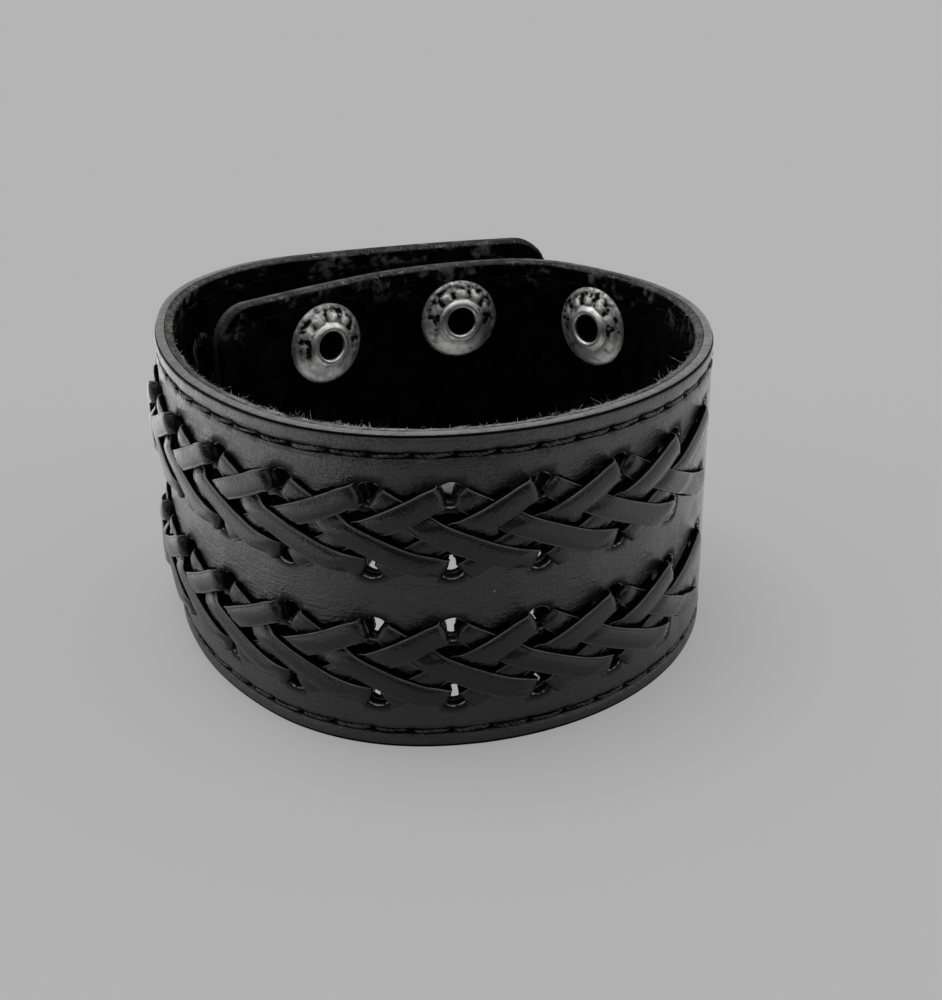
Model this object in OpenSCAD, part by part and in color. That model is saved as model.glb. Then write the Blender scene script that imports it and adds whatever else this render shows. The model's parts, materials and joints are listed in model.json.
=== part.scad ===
// Braided leather cuff bracelet, fastened, standing on its lower edge.
// A long strap of smooth leather backed with suede goes round in a loop. Two rows of flat laces are
// woven through punched holes, and the ends lap over each other at the back on two ring snaps.
// Millimetres. Z runs up the height of the cuff, the front of the cuff faces -Y.

/* [Strap] */
// Height of the cuff from its lower edge to its upper edge
band_h = 38; // [37:0.5:40]
// Thickness of the smooth outer leather
leather_t = 1.2; // [1.1:0.05:1.3]
// Thickness of the suede lining
lining_t = 1; // [0.9:0.05:1.1]
// Corner radius of both strap ends
end_r = 5; // [3:0.5:7]

/* [Braid] */
// Diameter of the punched lace holes
hole_d = 3; // [2.9:0.05:3.2]
// Width of a lace where it lies on the strap
lace_w = 2.6; // [2.3:0.1:2.7]
// Thickness of a lace
lace_t = 0.6; // [0.5:0.05:0.65]
// Height from a lower hole to the upper hole of the same row
row_h = 8.7; // [8.4:0.1:9.2]

/* [Snaps] */
// Diameter of the ring on the inner face of the strap
ring_d = 11.4; // [10.8:0.2:12]
// Diameter of the caps on the outside
cap_d = 12.4; // [11:0.2:13]
// Height from the edge of the strap to the middle of a snap
snap_inset = 7.8; // [7.2:0.1:8.5]

/* [Hidden] */

// Plan of the loop as arcs one after the other, from the middle of the front.
// The right side runs on to the inner strap end, with flatter stretches where the snaps sit.
RIGHT_LEN = [20, 20, 20, 16, 11, 10.5, 11, 9.5, 24];
RIGHT_RAD = [34, 35.6, 37.2, 28.5, 50, 13, 50, 39.2, 176];
// The left side runs on to the outer strap end.
LEFT_LEN = [20, 20, 20, 25, 38.8];
LEFT_RAD = [25.5, 51.7, 45.1, 21.5, 193];
// Stations of the two strap ends
RIGHT_END = 142;
LEFT_END = -123.8;
// From here the left side climbs a little, so the outer end sits above the inner end.
HINGE = -35;
CLIMB = 2.94;
// The middle of the front lies here, which centres the whole cuff on the origin.
FRONT = [-0.23, -35.48];
// Half of the gap between the leather and the lining
SEAM = 0.05;
// Length of one straight step of the strap in plan
STEP = 2;

// Columns of lace holes along the strap, measured from the middle of the front.
COLUMNS = [-85.4, -75.4, -65.4, -55.6, -45.8, -36.2, -26.2, -15.9, -6, 2.3, 11.8, 21.6, 31.3, 40.8];
LAST = len(COLUMNS) - 1;
// Height of the lower holes of the lower row and of the upper row
ROW_Z = [6.3, 22.4];
// The two laces that share a hole stand this far left and right of its middle.
SHARE = 0.75;
// Length of the plain tails at both ends of a lace
TAIL = 6.5;
// How much flatter a lace leaves its holes behind the strap
SWAY = 0.06;
// How much steeper than its average a lace starts over the front
BOW = 0.2;
// How far a lace steps up to lie over another one, the length that the step takes and how far it
// starts before the edge that the lace comes out from
STEP_UP = 0.94;
STEP_RUN = 2.3;
STEP_EARLY = 0.54;
// Half of the height between the two edges of a lace where it leans most in the step
LEAN = 0.36;

// Snap columns on the inner end, the free one, the fastened one and the one left showing
SNAP_S = [125.4, 103.6, 81.2];
SNAP_Z = [snap_inset, band_h - snap_inset];
// Distance between the two laps at the fastened snaps, seam to seam
LAP = 5.6;

LEATHER = [0.12, 0.12, 0.13];
SUEDE = [0.2, 0.2, 0.21];
LACE = [0.16, 0.16, 0.17];
METAL = [0.62, 0.62, 0.6];

// Plan geometry. A station s is a length along the seam, positive to the right, negative to the left.
function before(v, i) = i == 0 ? 0 : v[i - 1] + before(v, i - 1);
function lens(s) = s < 0 ? LEFT_LEN : RIGHT_LEN;
function rads(s) = s < 0 ? LEFT_RAD : RIGHT_RAD;
function used(v, i, s) = max(0, min(v[i], s - before(v, i)));
function arc_deg(l, r) = l / r * 180 / PI;
function chord(l, r) = 2 * r * sin(arc_deg(l, r) / 2);
// Turn of the strap and place of the seam after a length t of one side
function turn(v, r, t, i = 0) =
    i == len(v) ? 0 : arc_deg(used(v, i, t), r[i]) + turn(v, r, t, i + 1);
function walk(v, r, t, i = 0, a = 0) = i == len(v) ? [0, 0] :
    let (u = used(v, i, t), b = a + arc_deg(u, r[i]) / 2)
    chord(u, r[i]) * [cos(b), sin(b)] + walk(v, r, t, i + 1, a + arc_deg(u, r[i]));
function yaw(s) = (s < 0 ? -1 : 1) * turn(lens(s), rads(s), abs(s));
function seam(s) = let (p = walk(lens(s), rads(s), abs(s)))
    FRONT + [(s < 0 ? -1 : 1) * p[0], p[1]];
function along(s) = [cos(yaw(s)), sin(yaw(s))];
function outward(s) = [sin(yaw(s)), -cos(yaw(s))];
function at(s, d) = seam(s) + d * outward(s);
// How far the strap has climbed at a place on the left side
function lift(s, d) =
    s < HINGE ? max(0, -(at(s, d) - seam(HINGE)) * along(HINGE)) * tan(CLIMB) : 0;
function spot(s, d, z) = concat(at(s, d), [z + lift(s, d)]);

// A band of the plan between two stations and two distances from the seam
function band(s0, s1, d0, d1) = let (n = round((s1 - s0) / STEP))
    concat([for (i = [0:n]) at(s0 + (s1 - s0) * i / n, d1)],
        [for (i = [n:-1:0]) at(s0 + (s1 - s0) * i / n, d0)]);

// Children stand at a station with their Z axis pointing out of the cuff.
module facing_out(s, z) {
    translate(concat(seam(s), [z]))
        rotate([0, 0, yaw(s)])
            rotate([90, 0, 0])
                children();
}

// What is cut away beyond a rounded strap end
module end_corners(s, way) {
    base = lift(s, 0);
    r = end_r;
    facing_out(s, base)
        difference() {
            translate([way > 0 ? 0 : -r - 3, -4, -4])
                cube([r + 3, band_h + 8, 8]);
            translate([0, r, -5])
                cylinder(r = r, h = 10, $fn = 64);
            translate([0, band_h - r, -5])
                cylinder(r = r, h = 10, $fn = 64);
            translate([way > 0 ? -1 : -r - 4, r, -5])
                cube([r + 5, band_h - 2 * r, 10]);
        }
}

// The whole strap between two distances from the seam, before the holes are punched
module strap(d0, d1) {
    difference() {
        union() {
            linear_extrude(height = band_h)
                polygon(band(HINGE, RIGHT_END, d0, d1));
            intersection() {
                translate([0, 0, -2])
                    linear_extrude(height = band_h + 8)
                        polygon(band(LEFT_END, HINGE, d0, d1));
                translate(concat(seam(HINGE), [0]))
                    rotate([0, 0, yaw(HINGE)])
                        rotate([0, CLIMB, 0])
                            translate([-100, -90, 0])
                                cube([110, 180, band_h * cos(CLIMB)]);
            }
        }
        end_corners(RIGHT_END - end_r, 1);
        end_corners(LEFT_END + end_r, -1);
    }
}

// Round holes for the laces
module lace_holes() {
    for (s = COLUMNS, z = ROW_Z, up = [0, row_h])
        facing_out(s, z + up + lift(s, 0))
            translate([0, 0, -3])
                cylinder(d = hole_d, h = 6, $fn = 32);
}

// Holes for the barrels of the eyelets, and for the cap posts in the outer end
module snap_holes() {
    for (s = SNAP_S, z = SNAP_Z)
        facing_out(s, z)
            translate([0, 0, -2])
                cylinder(r = 2.7, h = 4, $fn = 48);
    for (z = SNAP_Z)
        facing_out(SNAP_S[1], z)
            translate([0, 0, LAP - 3])
                cylinder(r = 1.7, h = 6, $fn = 48);
}

module outer_leather() {
    color(LEATHER)
        difference() {
            strap(SEAM, leather_t);
            lace_holes();
            snap_holes();
        }
}

module suede_lining() {
    color(SUEDE)
        difference() {
            strap(-lining_t, -SEAM);
            lace_holes();
            snap_holes();
        }
}

// Laces. A rising lace goes up to the right on the front and a falling lace goes down to the right.
// Each passes two columns at a time and comes back one column behind the strap.
function column(i) = i < 0 ? 2 * COLUMNS[0] - COLUMNS[1] : COLUMNS[i];
// Place of a run in front: [first station, last station, first height, last height]
function front_run(k, way) = [column(k) + SHARE, column(k + 2) - SHARE,
    way > 0 ? 0 : row_h, way > 0 ? row_h : 0];
function back_run(k, way) = [COLUMNS[k + 2] - SHARE, COLUMNS[k + 1] + SHARE,
    way > 0 ? row_h : 0, way > 0 ? 0 : row_h];
// Part of run k at which it meets the other lace of run j
function meets(k, j) = let (a = front_run(k, 1), b = front_run(j, 1))
    (b[0] - a[0] + b[1] - b[0]) / (a[1] - a[0] + b[1] - b[0]);
function early(k) = k > 0 ? meets(k, k - 1) : 0.25;
function late(k) = k + 3 <= LAST ? meets(k, k + 1) : 0.75;
function reach(r) = norm([r[1] - r[0], r[3] - r[2]]);
function spread(r) = atan(abs(r[3] - r[2]) / abs(r[1] - r[0]));
// Part of the row height that a lace has covered at part f of a run in front
function covered(f) = f + BOW * f * (1 - f);
function path(run, s) = run[2] + covered((s - run[0]) / (run[1] - run[0])) * (run[3] - run[2]);
// How far a place lies beyond the edge of a run of the other lace, on the side that the lace goes to
function beyond(run, way, s, z) = way * (z - path(run, s)) * cos(spread(run)) - lace_w / 2;
function ease(x) = let (t = max(0, min(1, x))) t * t * (3 - 2 * t);
// A lace steps up where it comes out from under the other one. The falling lace comes down again
// past its last crossing, and the last rising pass has nothing under it.
function step_up(k, way, e, s, z) =
    let (up = STEP_UP * ease((e + STEP_EARLY) / STEP_RUN))
    way > 0 ? (k + 3 <= LAST ? 1 : 0.3) * up
        : up * (1 - 0.7 * ease((beyond(front_run(min(k + 1, LAST - 2), 1), -1, s, z) - 0.8) / 1.6));
// In the step the lace leans, so its leading edge is up before its trailing edge.
function lean(k, way, e) = let (x = (e - 0.57) / 0.85)
    LEAN * max(0, 1 - x * x) * (way > 0 && k + 3 > LAST ? 0.3 : way);

// Levels of the lace middle above the seam
LOW = leather_t + 0.12 + lace_t / 2;
BACK_LOW = -lining_t - 0.08 - lace_t / 2;
MOUTH = leather_t - 0.08;
// Rows of the front course: [anchor, millimetres past it, height, turn, width, step]. The anchors are
// the first hole, the first crossing, the middle, the last crossing and the last hole. The last
// number is the share of the step up that the row takes.
LEAVE = [[0, 0, -lining_t, 0.3, 0.6, 0], [0, 0, MOUTH, 0.35, 0.62, 0], [0, 0.25, LOW, 0.5, 0.68, 0],
    [0, 0.95, LOW + 0.14, 0.8, 0.9, 0], [0, 2.2, LOW, 1, 1, 0]];
ENTER = [[4, -2, LOW + 0.04, 1, 1, 1], [4, -1, LOW - 0.02, 0.95, 0.96, 1],
    [4, -0.3, LOW - 0.14, 0.6, 0.7, 0.8], [4, 0, MOUTH, 0.35, 0.62, 0], [4, 0, -lining_t, 0.3, 0.6, 0]];
CLIMB_AT = [0.5, 1.2, 1.9, 2.6, 3.3, 4];
RISING = concat(LEAVE, [[1, 0, LOW, 1, 1, 1], [2, -0.6, LOW, 1, 1, 1]],
    [for (x = CLIMB_AT) [2, x, LOW, 1, 1, 1]], [[3, 0.8, LOW + 0.06, 1, 1, 1]], ENTER);
FALLING = concat(LEAVE, [[1, -0.7, LOW, 1, 1, 1]], [for (x = CLIMB_AT) [1, x, LOW, 1, 1, 1]],
    [[2, 1, LOW + 0.04, 1, 1, 1], [3, -1, LOW, 1, 1, 1], [3, 1.4, LOW, 1, 1, 1]], ENTER);
// Rows behind the strap: the rising lace lies against the lining, the falling one crosses over it.
function behind(way) = let (dip = way > 0 ? 0 : lace_t + 0.1)
    [[0, 0, BACK_LOW + 0.2, 0.2, 0.6], [0, 0.5, BACK_LOW - 0.08, 0.3, 0.62],
    [0, 1.4, BACK_LOW - 0.08, 0.6, 0.82], [0, 2.7, BACK_LOW - dip * 0.45, 1, 1],
    [2, -1.9, BACK_LOW - dip, 1, 1], [2, 1.9, BACK_LOW - dip, 1, 1],
    [4, -2.7, BACK_LOW - dip * 0.45, 1, 1], [4, -1.4, BACK_LOW - 0.08, 0.6, 0.82],
    [4, -0.5, BACK_LOW - 0.08, 0.3, 0.62], [4, 0, BACK_LOW + 0.2, 0.2, 0.6]];

// Part of the run at an anchor, or between two of them
function mark(ank, a) = ank[floor(a)] + (a - floor(a)) * (ank[ceil(a)] - ank[floor(a)]);
// One row turned into [point, direction of the width, width, roll]. In front, the row takes its share
// of the step and of the lean. A positive roll lifts the upper edge.
function front_knot(k, way, run, row, ank, z0) =
    let (f = mark(ank, row[0]) + row[1] / reach(run),
        s = run[0] + f * (run[1] - run[0]),
        z = path(run, s),
        a = row[3] * way * spread(run),
        e = beyond(front_run(way > 0 ? k : k - 1, -way), way, s, z),
        t = along(s))
    [spot(s, row[2] + row[5] * step_up(k, way, e, s, z), z0 + z),
        [-sin(a) * t[0], -sin(a) * t[1], cos(a)], row[4] * lace_w,
        row[5] * atan(2 * lean(k, way, e) / lace_w)];
function pass(k, way, z0) =
    let (run = front_run(k, way),
        ank = way > 0 ? [0, early(k), 0.5, late(k), 1] : [0, k > 0 ? 1 - late(k - 1) : 0.25, 0.5,
            k + 3 <= LAST ? 1 - early(k + 1) : 0.75, 1])
    [for (row = (way > 0 ? RISING : FALLING)) front_knot(k, way, run, row, ank, z0)];
// Behind the strap, a run leaves its holes flatter.
function back_knot(way, run, row, z0) =
    let (f = row[0] / 4 + row[1] / reach(run),
        s = run[0] + f * (run[1] - run[0]),
        z = z0 + run[2] + (f - SWAY * sin(360 * f)) * (run[3] - run[2]),
        a = row[3] * way * spread(run),
        t = along(s))
    [spot(s, row[2], z), [-sin(a) * t[0], -sin(a) * t[1], cos(a)], row[4] * lace_w, 0];
function return_pass(k, way, z0) = let (run = back_run(k, way))
    [for (row = behind(way)) back_knot(way, run, row, z0)];
// Plain tails lie behind the strap at the two ends of a lace.
function tail_run(s, way, z0, side) =
    [for (m = [0, 0.35, 0.8, 1]) let (x = side < 0 ? TAIL * (1 - m) : TAIL * m)
        [spot(s + side * x, BACK_LOW + (x < 0.5 ? 0.15 : 0), z0), [0, 0, 1],
            lace_w * (x < 1.5 ? 0.7 : 0.95), 0]];
function course(way, z0) = concat(
    tail_run(COLUMNS[0] + SHARE - 0.35, way, z0 + (way > 0 ? 0 : row_h), -1),
    [for (k = [0:LAST - 2]) each concat(pass(k, way, z0),
        k < LAST - 2 ? return_pass(k, way, z0) : [])],
    tail_run(COLUMNS[LAST] - SHARE + 0.35, way, z0 + (way > 0 ? row_h : 0), 1));

function unit(v) = v / norm(v);
// Four corners of the lace at one row, square to its direction of travel
function corners(c, i) =
    let (n = len(c) - 1,
        t = unit(c[min(i + 1, n)][0] - c[max(i - 1, 0)][0]),
        w0 = c[i][1],
        flat = unit(w0 - (w0 * t) * t),
        w = cos(c[i][3]) * flat + sin(c[i][3]) * cross(t, flat),
        b = cross(t, w),
        p = c[i][0],
        h = c[i][2] / 2)
    [p + w * h + b * lace_t / 2, p - w * h + b * lace_t / 2, p - w * h - b * lace_t / 2,
        p + w * h - b * lace_t / 2];
module lace(way, z0) {
    c = course(way, z0);
    n = len(c);
    pts = [for (i = [0:n - 1]) each corners(c, i)];
    sides = [for (i = [0:n - 2], j = [0:3]) let (a = 4 * i + j, b = 4 * i + (j + 1) % 4)
        each [[a, b + 4, b], [a, a + 4, b + 4]]];
    ends = [[0, 2, 3], [0, 1, 2], [4 * n - 4, 4 * n - 2, 4 * n - 3], [4 * n - 4, 4 * n - 1, 4 * n - 2]];
    color(LACE)
        polyhedron(points = pts, faces = concat(sides, ends), convexity = 10);
}

module lace_upper_rising() { lace(1, ROW_Z[1]); }
module lace_upper_falling() { lace(-1, ROW_Z[1]); }
module lace_lower_rising() { lace(1, ROW_Z[0]); }
module lace_lower_falling() { lace(-1, ROW_Z[0]); }

// Eyelet: a dished ring inside the cuff with a raised lip, and the barrel that goes through the strap
module eyelet(i, z) {
    r = ring_d / 2;
    f = -lining_t - 0.46;
    color(METAL)
        facing_out(SNAP_S[i], z)
            rotate_extrude($fn = 72)
                polygon([[2.2, f - 1.1], [2.4, f - 1.25], [2.7, f - 1.2], [2.95, f - 0.95],
                    [3.3, f - 0.5], [3.8, f - 0.5], [r - 0.9, f - 0.75], [r - 0.35, f - 0.75],
                    [r, f - 0.45], [r, f - 0.05], [r - 0.2, f + 0.05], [r - 0.45, f - 0.2],
                    [r - 1, f - 0.35], [3.8, f - 0.15], [2.6, f - 0.15], [2.6, leather_t + 1.95],
                    [2.2, leather_t + 1.95]]);
}

// Stud: the ring on the outside of the inner end, with the knob that the socket grips
module stud(i, z) {
    f = leather_t + 0.12;
    color(METAL)
        facing_out(SNAP_S[i], z)
            rotate_extrude($fn = 72)
                polygon([[2.75, f], [5.2, f], [5.4, f + 0.2], [5.2, f + 0.45], [3.3, f + 0.55],
                    [3.05, f + 0.75], [3.05, f + 1.35], [3.3, f + 1.65], [3.3, f + 2], [3.05, f + 2.3],
                    [2.6, f + 2.45], [0, f + 2.45], [0, f + 2.05], [2.75, f + 2.05]]);
}

// Socket: the ring on the lining of the outer end, closed round the knob
module socket(z) {
    b = LAP - lining_t - 0.22;
    color(METAL)
        facing_out(SNAP_S[1], z)
            rotate_extrude($fn = 72)
                polygon([[1.8, b], [5.7, b], [5.9, b - 0.3], [5.8, b - 1.5], [5.4, b - 2],
                    [4.6, b - 2.25], [3.5, b - 2.25], [3.2, b - 2], [3.2, b - 1.7], [3.45, b - 1.4],
                    [3.45, b - 0.45], [1.8, b - 0.45]]);
}

// Cap: the domed head on the outside and the post that goes through into the socket
module cap(z) {
    t = LAP + leather_t + 0.2;
    r = cap_d / 2;
    color(METAL)
        facing_out(SNAP_S[1], z)
            rotate_extrude($fn = 72)
                polygon([[0, LAP - lining_t - 0.35], [1.6, LAP - lining_t - 0.35], [1.6, t],
                    [r - 0.3, t], [r, t + 0.25], [r - 0.15, t + 0.6], [r - 1, t + 1.05],
                    [r - 2.6, t + 1.4], [2, t + 1.6], [0, t + 1.65]]);
}

module eyelet_lower_1() { eyelet(0, SNAP_Z[0]); }
module eyelet_lower_2() { eyelet(1, SNAP_Z[0]); }
module eyelet_lower_3() { eyelet(2, SNAP_Z[0]); }
module eyelet_upper_1() { eyelet(0, SNAP_Z[1]); }
module eyelet_upper_2() { eyelet(1, SNAP_Z[1]); }
module eyelet_upper_3() { eyelet(2, SNAP_Z[1]); }
module stud_lower_1() { stud(0, SNAP_Z[0]); }
module stud_lower_2() { stud(1, SNAP_Z[0]); }
module stud_lower_3() { stud(2, SNAP_Z[0]); }
module stud_upper_1() { stud(0, SNAP_Z[1]); }
module stud_upper_2() { stud(1, SNAP_Z[1]); }
module stud_upper_3() { stud(2, SNAP_Z[1]); }
module socket_upper() { socket(SNAP_Z[1]); }
module socket_lower() { socket(SNAP_Z[0]); }
module cap_upper() { cap(SNAP_Z[1]); }
module cap_lower() { cap(SNAP_Z[0]); }

outer_leather();
suede_lining();
lace_upper_rising();
lace_upper_falling();
lace_lower_rising();
lace_lower_falling();
eyelet_upper_1();
eyelet_upper_2();
eyelet_upper_3();
eyelet_lower_1();
eyelet_lower_2();
eyelet_lower_3();
stud_upper_1();
stud_upper_2();
stud_upper_3();
stud_lower_1();
stud_lower_2();
stud_lower_3();
socket_upper();
socket_lower();
cap_upper();
cap_lower();
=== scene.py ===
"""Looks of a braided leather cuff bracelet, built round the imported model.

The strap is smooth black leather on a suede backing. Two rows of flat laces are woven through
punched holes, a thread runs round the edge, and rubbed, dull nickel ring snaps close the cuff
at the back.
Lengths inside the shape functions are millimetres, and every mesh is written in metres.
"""

import json
import logging
import math
from dataclasses import dataclass
from enum import Enum

import bmesh
import bpy
import numpy as np
from mathutils import Matrix, Vector

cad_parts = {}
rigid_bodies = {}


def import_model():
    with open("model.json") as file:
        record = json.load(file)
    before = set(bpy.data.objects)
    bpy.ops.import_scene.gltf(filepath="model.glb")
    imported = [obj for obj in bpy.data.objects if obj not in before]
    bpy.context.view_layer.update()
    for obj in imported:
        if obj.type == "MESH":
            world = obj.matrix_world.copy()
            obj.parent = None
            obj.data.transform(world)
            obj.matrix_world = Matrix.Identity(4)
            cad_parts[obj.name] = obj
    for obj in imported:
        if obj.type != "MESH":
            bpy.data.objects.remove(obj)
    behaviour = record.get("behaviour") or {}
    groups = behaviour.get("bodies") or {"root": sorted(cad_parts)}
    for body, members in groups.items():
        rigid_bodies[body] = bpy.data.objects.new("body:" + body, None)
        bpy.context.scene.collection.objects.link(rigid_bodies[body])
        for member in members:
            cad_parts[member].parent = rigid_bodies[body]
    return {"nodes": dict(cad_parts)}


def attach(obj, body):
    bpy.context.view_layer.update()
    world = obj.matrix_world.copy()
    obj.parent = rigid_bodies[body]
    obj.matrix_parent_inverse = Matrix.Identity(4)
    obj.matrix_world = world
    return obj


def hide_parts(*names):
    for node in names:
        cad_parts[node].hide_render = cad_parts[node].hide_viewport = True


Array = np.ndarray
Material = bpy.types.Material
Node = bpy.types.Node
Piece = bpy.types.Object
Socket = bpy.types.NodeSocket
Tree = bpy.types.NodeTree

LOG = logging.getLogger("cuff")
MM = 0.001
BODY = "root"
FAR = 9.0  # a distance in millimetres that counts as out of reach of every groove and lace
TINY = 1e-9  # the smallest length that anything is divided by


class Slot(Enum):
    """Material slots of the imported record."""

    SMOOTH = "smooth_leather"
    SUEDE = "suede"
    LACE = "lace_leather"
    METAL = "snap_metal"


class Way(Enum):
    """Which way a lace passes over the front of the strap, seen from outside."""

    RISING = 1
    FALLING = -1


# Numbers


def smoothstep(x: Array, low: float, high: float) -> Array:
    """Smooth ramp 3t^2 - 2t^3 from 0 at low to 1 at high.

    Args:
        x: values to test.
        low: where the ramp starts.
        high: where the ramp ends.

    Returns:
        Ramp values from 0 to 1.
    """
    t = np.clip((x - low) / (high - low), 0.0, 1.0)
    return t * t * (3 - 2 * t)


def bell(x: Array, width: float) -> Array:
    """Bell curve exp(-(x / width)^2)."""
    return np.exp(-((x / width) ** 2))


def unit(vectors: Array) -> Array:
    """Vectors divided by their length, along the last axis."""
    return vectors / np.maximum(np.linalg.norm(vectors, axis=-1, keepdims=True), TINY)


def through(x: Array, y: Array, at: Array) -> Array:
    """Monotone cubic through rows of y at x, so a level stretch stays level.

    Each interval is a Hermite cubic whose end slopes are the harmonic mean of the slopes
    of its two neighbours, or zero where they differ in sign.

    Args:
        x: rising positions, n of them.
        y: n rows of values.
        at: positions to evaluate.

    Returns:
        One row of values for each position.
    """
    h = np.diff(x)[:, None]
    slope = np.diff(y, axis=0) / h
    a, b = slope[:-1], slope[1:]
    w0, w1 = 2 * h[1:] + h[:-1], h[1:] + 2 * h[:-1]
    safe = np.where(a * b > 0, w0 / np.where(a == 0, 1, a) + w1 / np.where(b == 0, 1, b), 1)
    inner = np.where(a * b > 0, (w0 + w1) / safe, 0)
    tangent = np.vstack([slope[:1], inner, slope[-1:]])
    i = np.clip(np.searchsorted(x, at, side="right") - 1, 0, len(h) - 1)
    t = ((at - x[i]) / h[i, 0])[:, None]
    return (
        (1 + 2 * t) * (1 - t) ** 2 * y[i]
        + t * (1 - t) ** 2 * h[i] * tangent[i]
        + t * t * (3 - 2 * t) * y[i + 1]
        + t * t * (t - 1) * h[i] * tangent[i + 1]
    )


@dataclass(frozen=True)
class Ripple:
    """Smooth seeded unevenness: a sum of cosines with random directions and phases."""

    seed: int
    wavelength: float
    amount: float
    waves: int = 14

    def __call__(self, *axes: Array) -> Array:
        """Sum of cos(k . p + phase), scaled so that amount is about its largest value.

        Args:
            axes: coordinates in millimetres, all of one shape.

        Returns:
            Offsets of the same shape.
        """
        rng = np.random.default_rng(self.seed)
        total = np.zeros(np.broadcast(*axes).shape)
        for _ in range(self.waves):
            k = rng.normal(size=len(axes)) * 2 * math.pi / self.wavelength / math.sqrt(len(axes))
            total = total + np.cos(sum(c * a for c, a in zip(k, axes)) + rng.uniform(0, 2 * math.pi))
        return total * self.amount * 1.4 / self.waves


def stops(start: float, *legs: tuple[float, int]) -> Array:
    """Positions from a start through legs of (end, cells), even within each leg.

    Args:
        start: first position.
        legs: end of each leg and the number of cells in it.

    Returns:
        All positions, in order.
    """
    out = [np.array([start])]
    for end, cells in legs:
        out.append(np.linspace(out[-1][-1], end, cells + 1)[1:])
    return np.concatenate(out)


# Meshes


class Shell:
    """Gathers points, faces and per-point values, and turns them into one object."""

    def __init__(self, *values: str) -> None:
        """Start an empty shell.

        Args:
            values: names of the per-point attributes that it carries.
        """
        self.names = values
        self.points: list[Array] = []
        self.uvs: list[Array] = []
        self.values: list[Array] = []
        self.faces: list[list[int]] = []
        self.count = 0

    def add_points(self, xyz: Array, uv: Array | None = None, **values: Array | float) -> Array:
        """Add points and return their numbers in the same layout.

        Args:
            xyz: points in millimetres, shape (..., 3).
            uv: pattern coordinates in millimetres, shape (..., 2), or None for zeros.
            values: per-point values by attribute name.

        Returns:
            Point numbers, shape (...).
        """
        shape = xyz.shape[:-1]
        n = int(np.prod(shape))
        self.points.append(xyz.reshape(-1, 3))
        self.uvs.append(np.zeros((n, 2)) if uv is None else np.broadcast_to(uv, (*shape, 2)).reshape(-1, 2))
        row = [np.broadcast_to(values.get(k, 0.0), shape).reshape(-1) for k in self.names]
        self.values.append(np.stack(row, 1) if row else np.zeros((n, 0)))
        self.count += n
        return np.arange(self.count - n, self.count).reshape(shape)

    def add_quads(self, ids: Array, keep: Array | None = None) -> None:
        """Add the faces between neighbouring points of grids of point numbers.

        Args:
            ids: point numbers, shape (..., rows, columns).
            keep: which cells get a face, shape (..., rows - 1, columns - 1), or None for all.
        """
        quads = np.stack(
            [ids[..., :-1, :-1], ids[..., 1:, :-1], ids[..., 1:, 1:], ids[..., :-1, 1:]], -1
        )
        quads = quads.reshape(-1, 4) if keep is None else quads[keep]
        self.faces.extend(quads.tolist())

    def add_fan(self, ring: Array, hub: Array) -> None:
        """Close a ring of points with triangles to one point.

        Args:
            ring: point numbers round the ring, the first one not repeated.
            hub: number of the point in the middle.
        """
        hubs = np.full_like(ring, int(hub))
        self.faces.extend(np.stack([ring, np.roll(ring, -1), hubs], -1).tolist())

    def build(self, name: str, material: Material) -> Piece:
        """Make the object, with faces turned outwards and smooth shading.

        Args:
            name: the piece's name.
            material: its finish.

        Returns:
            The linked object.
        """
        points = np.concatenate(self.points) * MM
        mesh = bpy.data.meshes.new(name)
        mesh.from_pydata(points.tolist(), [], self.faces)
        mesh.validate()
        work = bmesh.new()
        work.from_mesh(mesh)
        bmesh.ops.recalc_face_normals(work, faces=work.faces)
        work.to_mesh(mesh)
        work.free()
        corner = np.empty(len(mesh.loops), dtype=np.int32)
        mesh.loops.foreach_get("vertex_index", corner)
        layer = mesh.uv_layers.new(name="pattern")
        layer.data.foreach_set("uv", np.concatenate(self.uvs)[corner].astype(np.float32).ravel())
        for k, key in enumerate(self.names):
            attribute = mesh.attributes.new(key, "FLOAT", "POINT")
            attribute.data.foreach_set("value", np.concatenate(self.values)[:, k].astype(np.float32))
        mesh.shade_smooth()
        mesh.materials.append(material)
        piece = bpy.data.objects.new(name, mesh)
        bpy.context.scene.collection.objects.link(piece)
        return piece


def closed(ids: Array, axis: int = -1) -> Array:
    """Repeat the first point numbers at the end of an axis, so that the ring closes."""
    first = np.take(ids, [0], axis=axis)
    return np.concatenate([ids, first], axis=axis)


def fasten(piece: Piece, slot: Slot, *nodes: str) -> None:
    """Let a finished piece ride on the body and stand for its nodes.

    Args:
        piece: the finished piece.
        slot: the record's material slot; not used.
        nodes: CAD nodes that it replaces.
    """
    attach(piece, BODY)
    if nodes:
        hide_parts(*nodes)
    LOG.info("%s: %d faces, stands for %s", piece.name, len(piece.data.polygons), list(nodes))


# Shape of the strap


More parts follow.
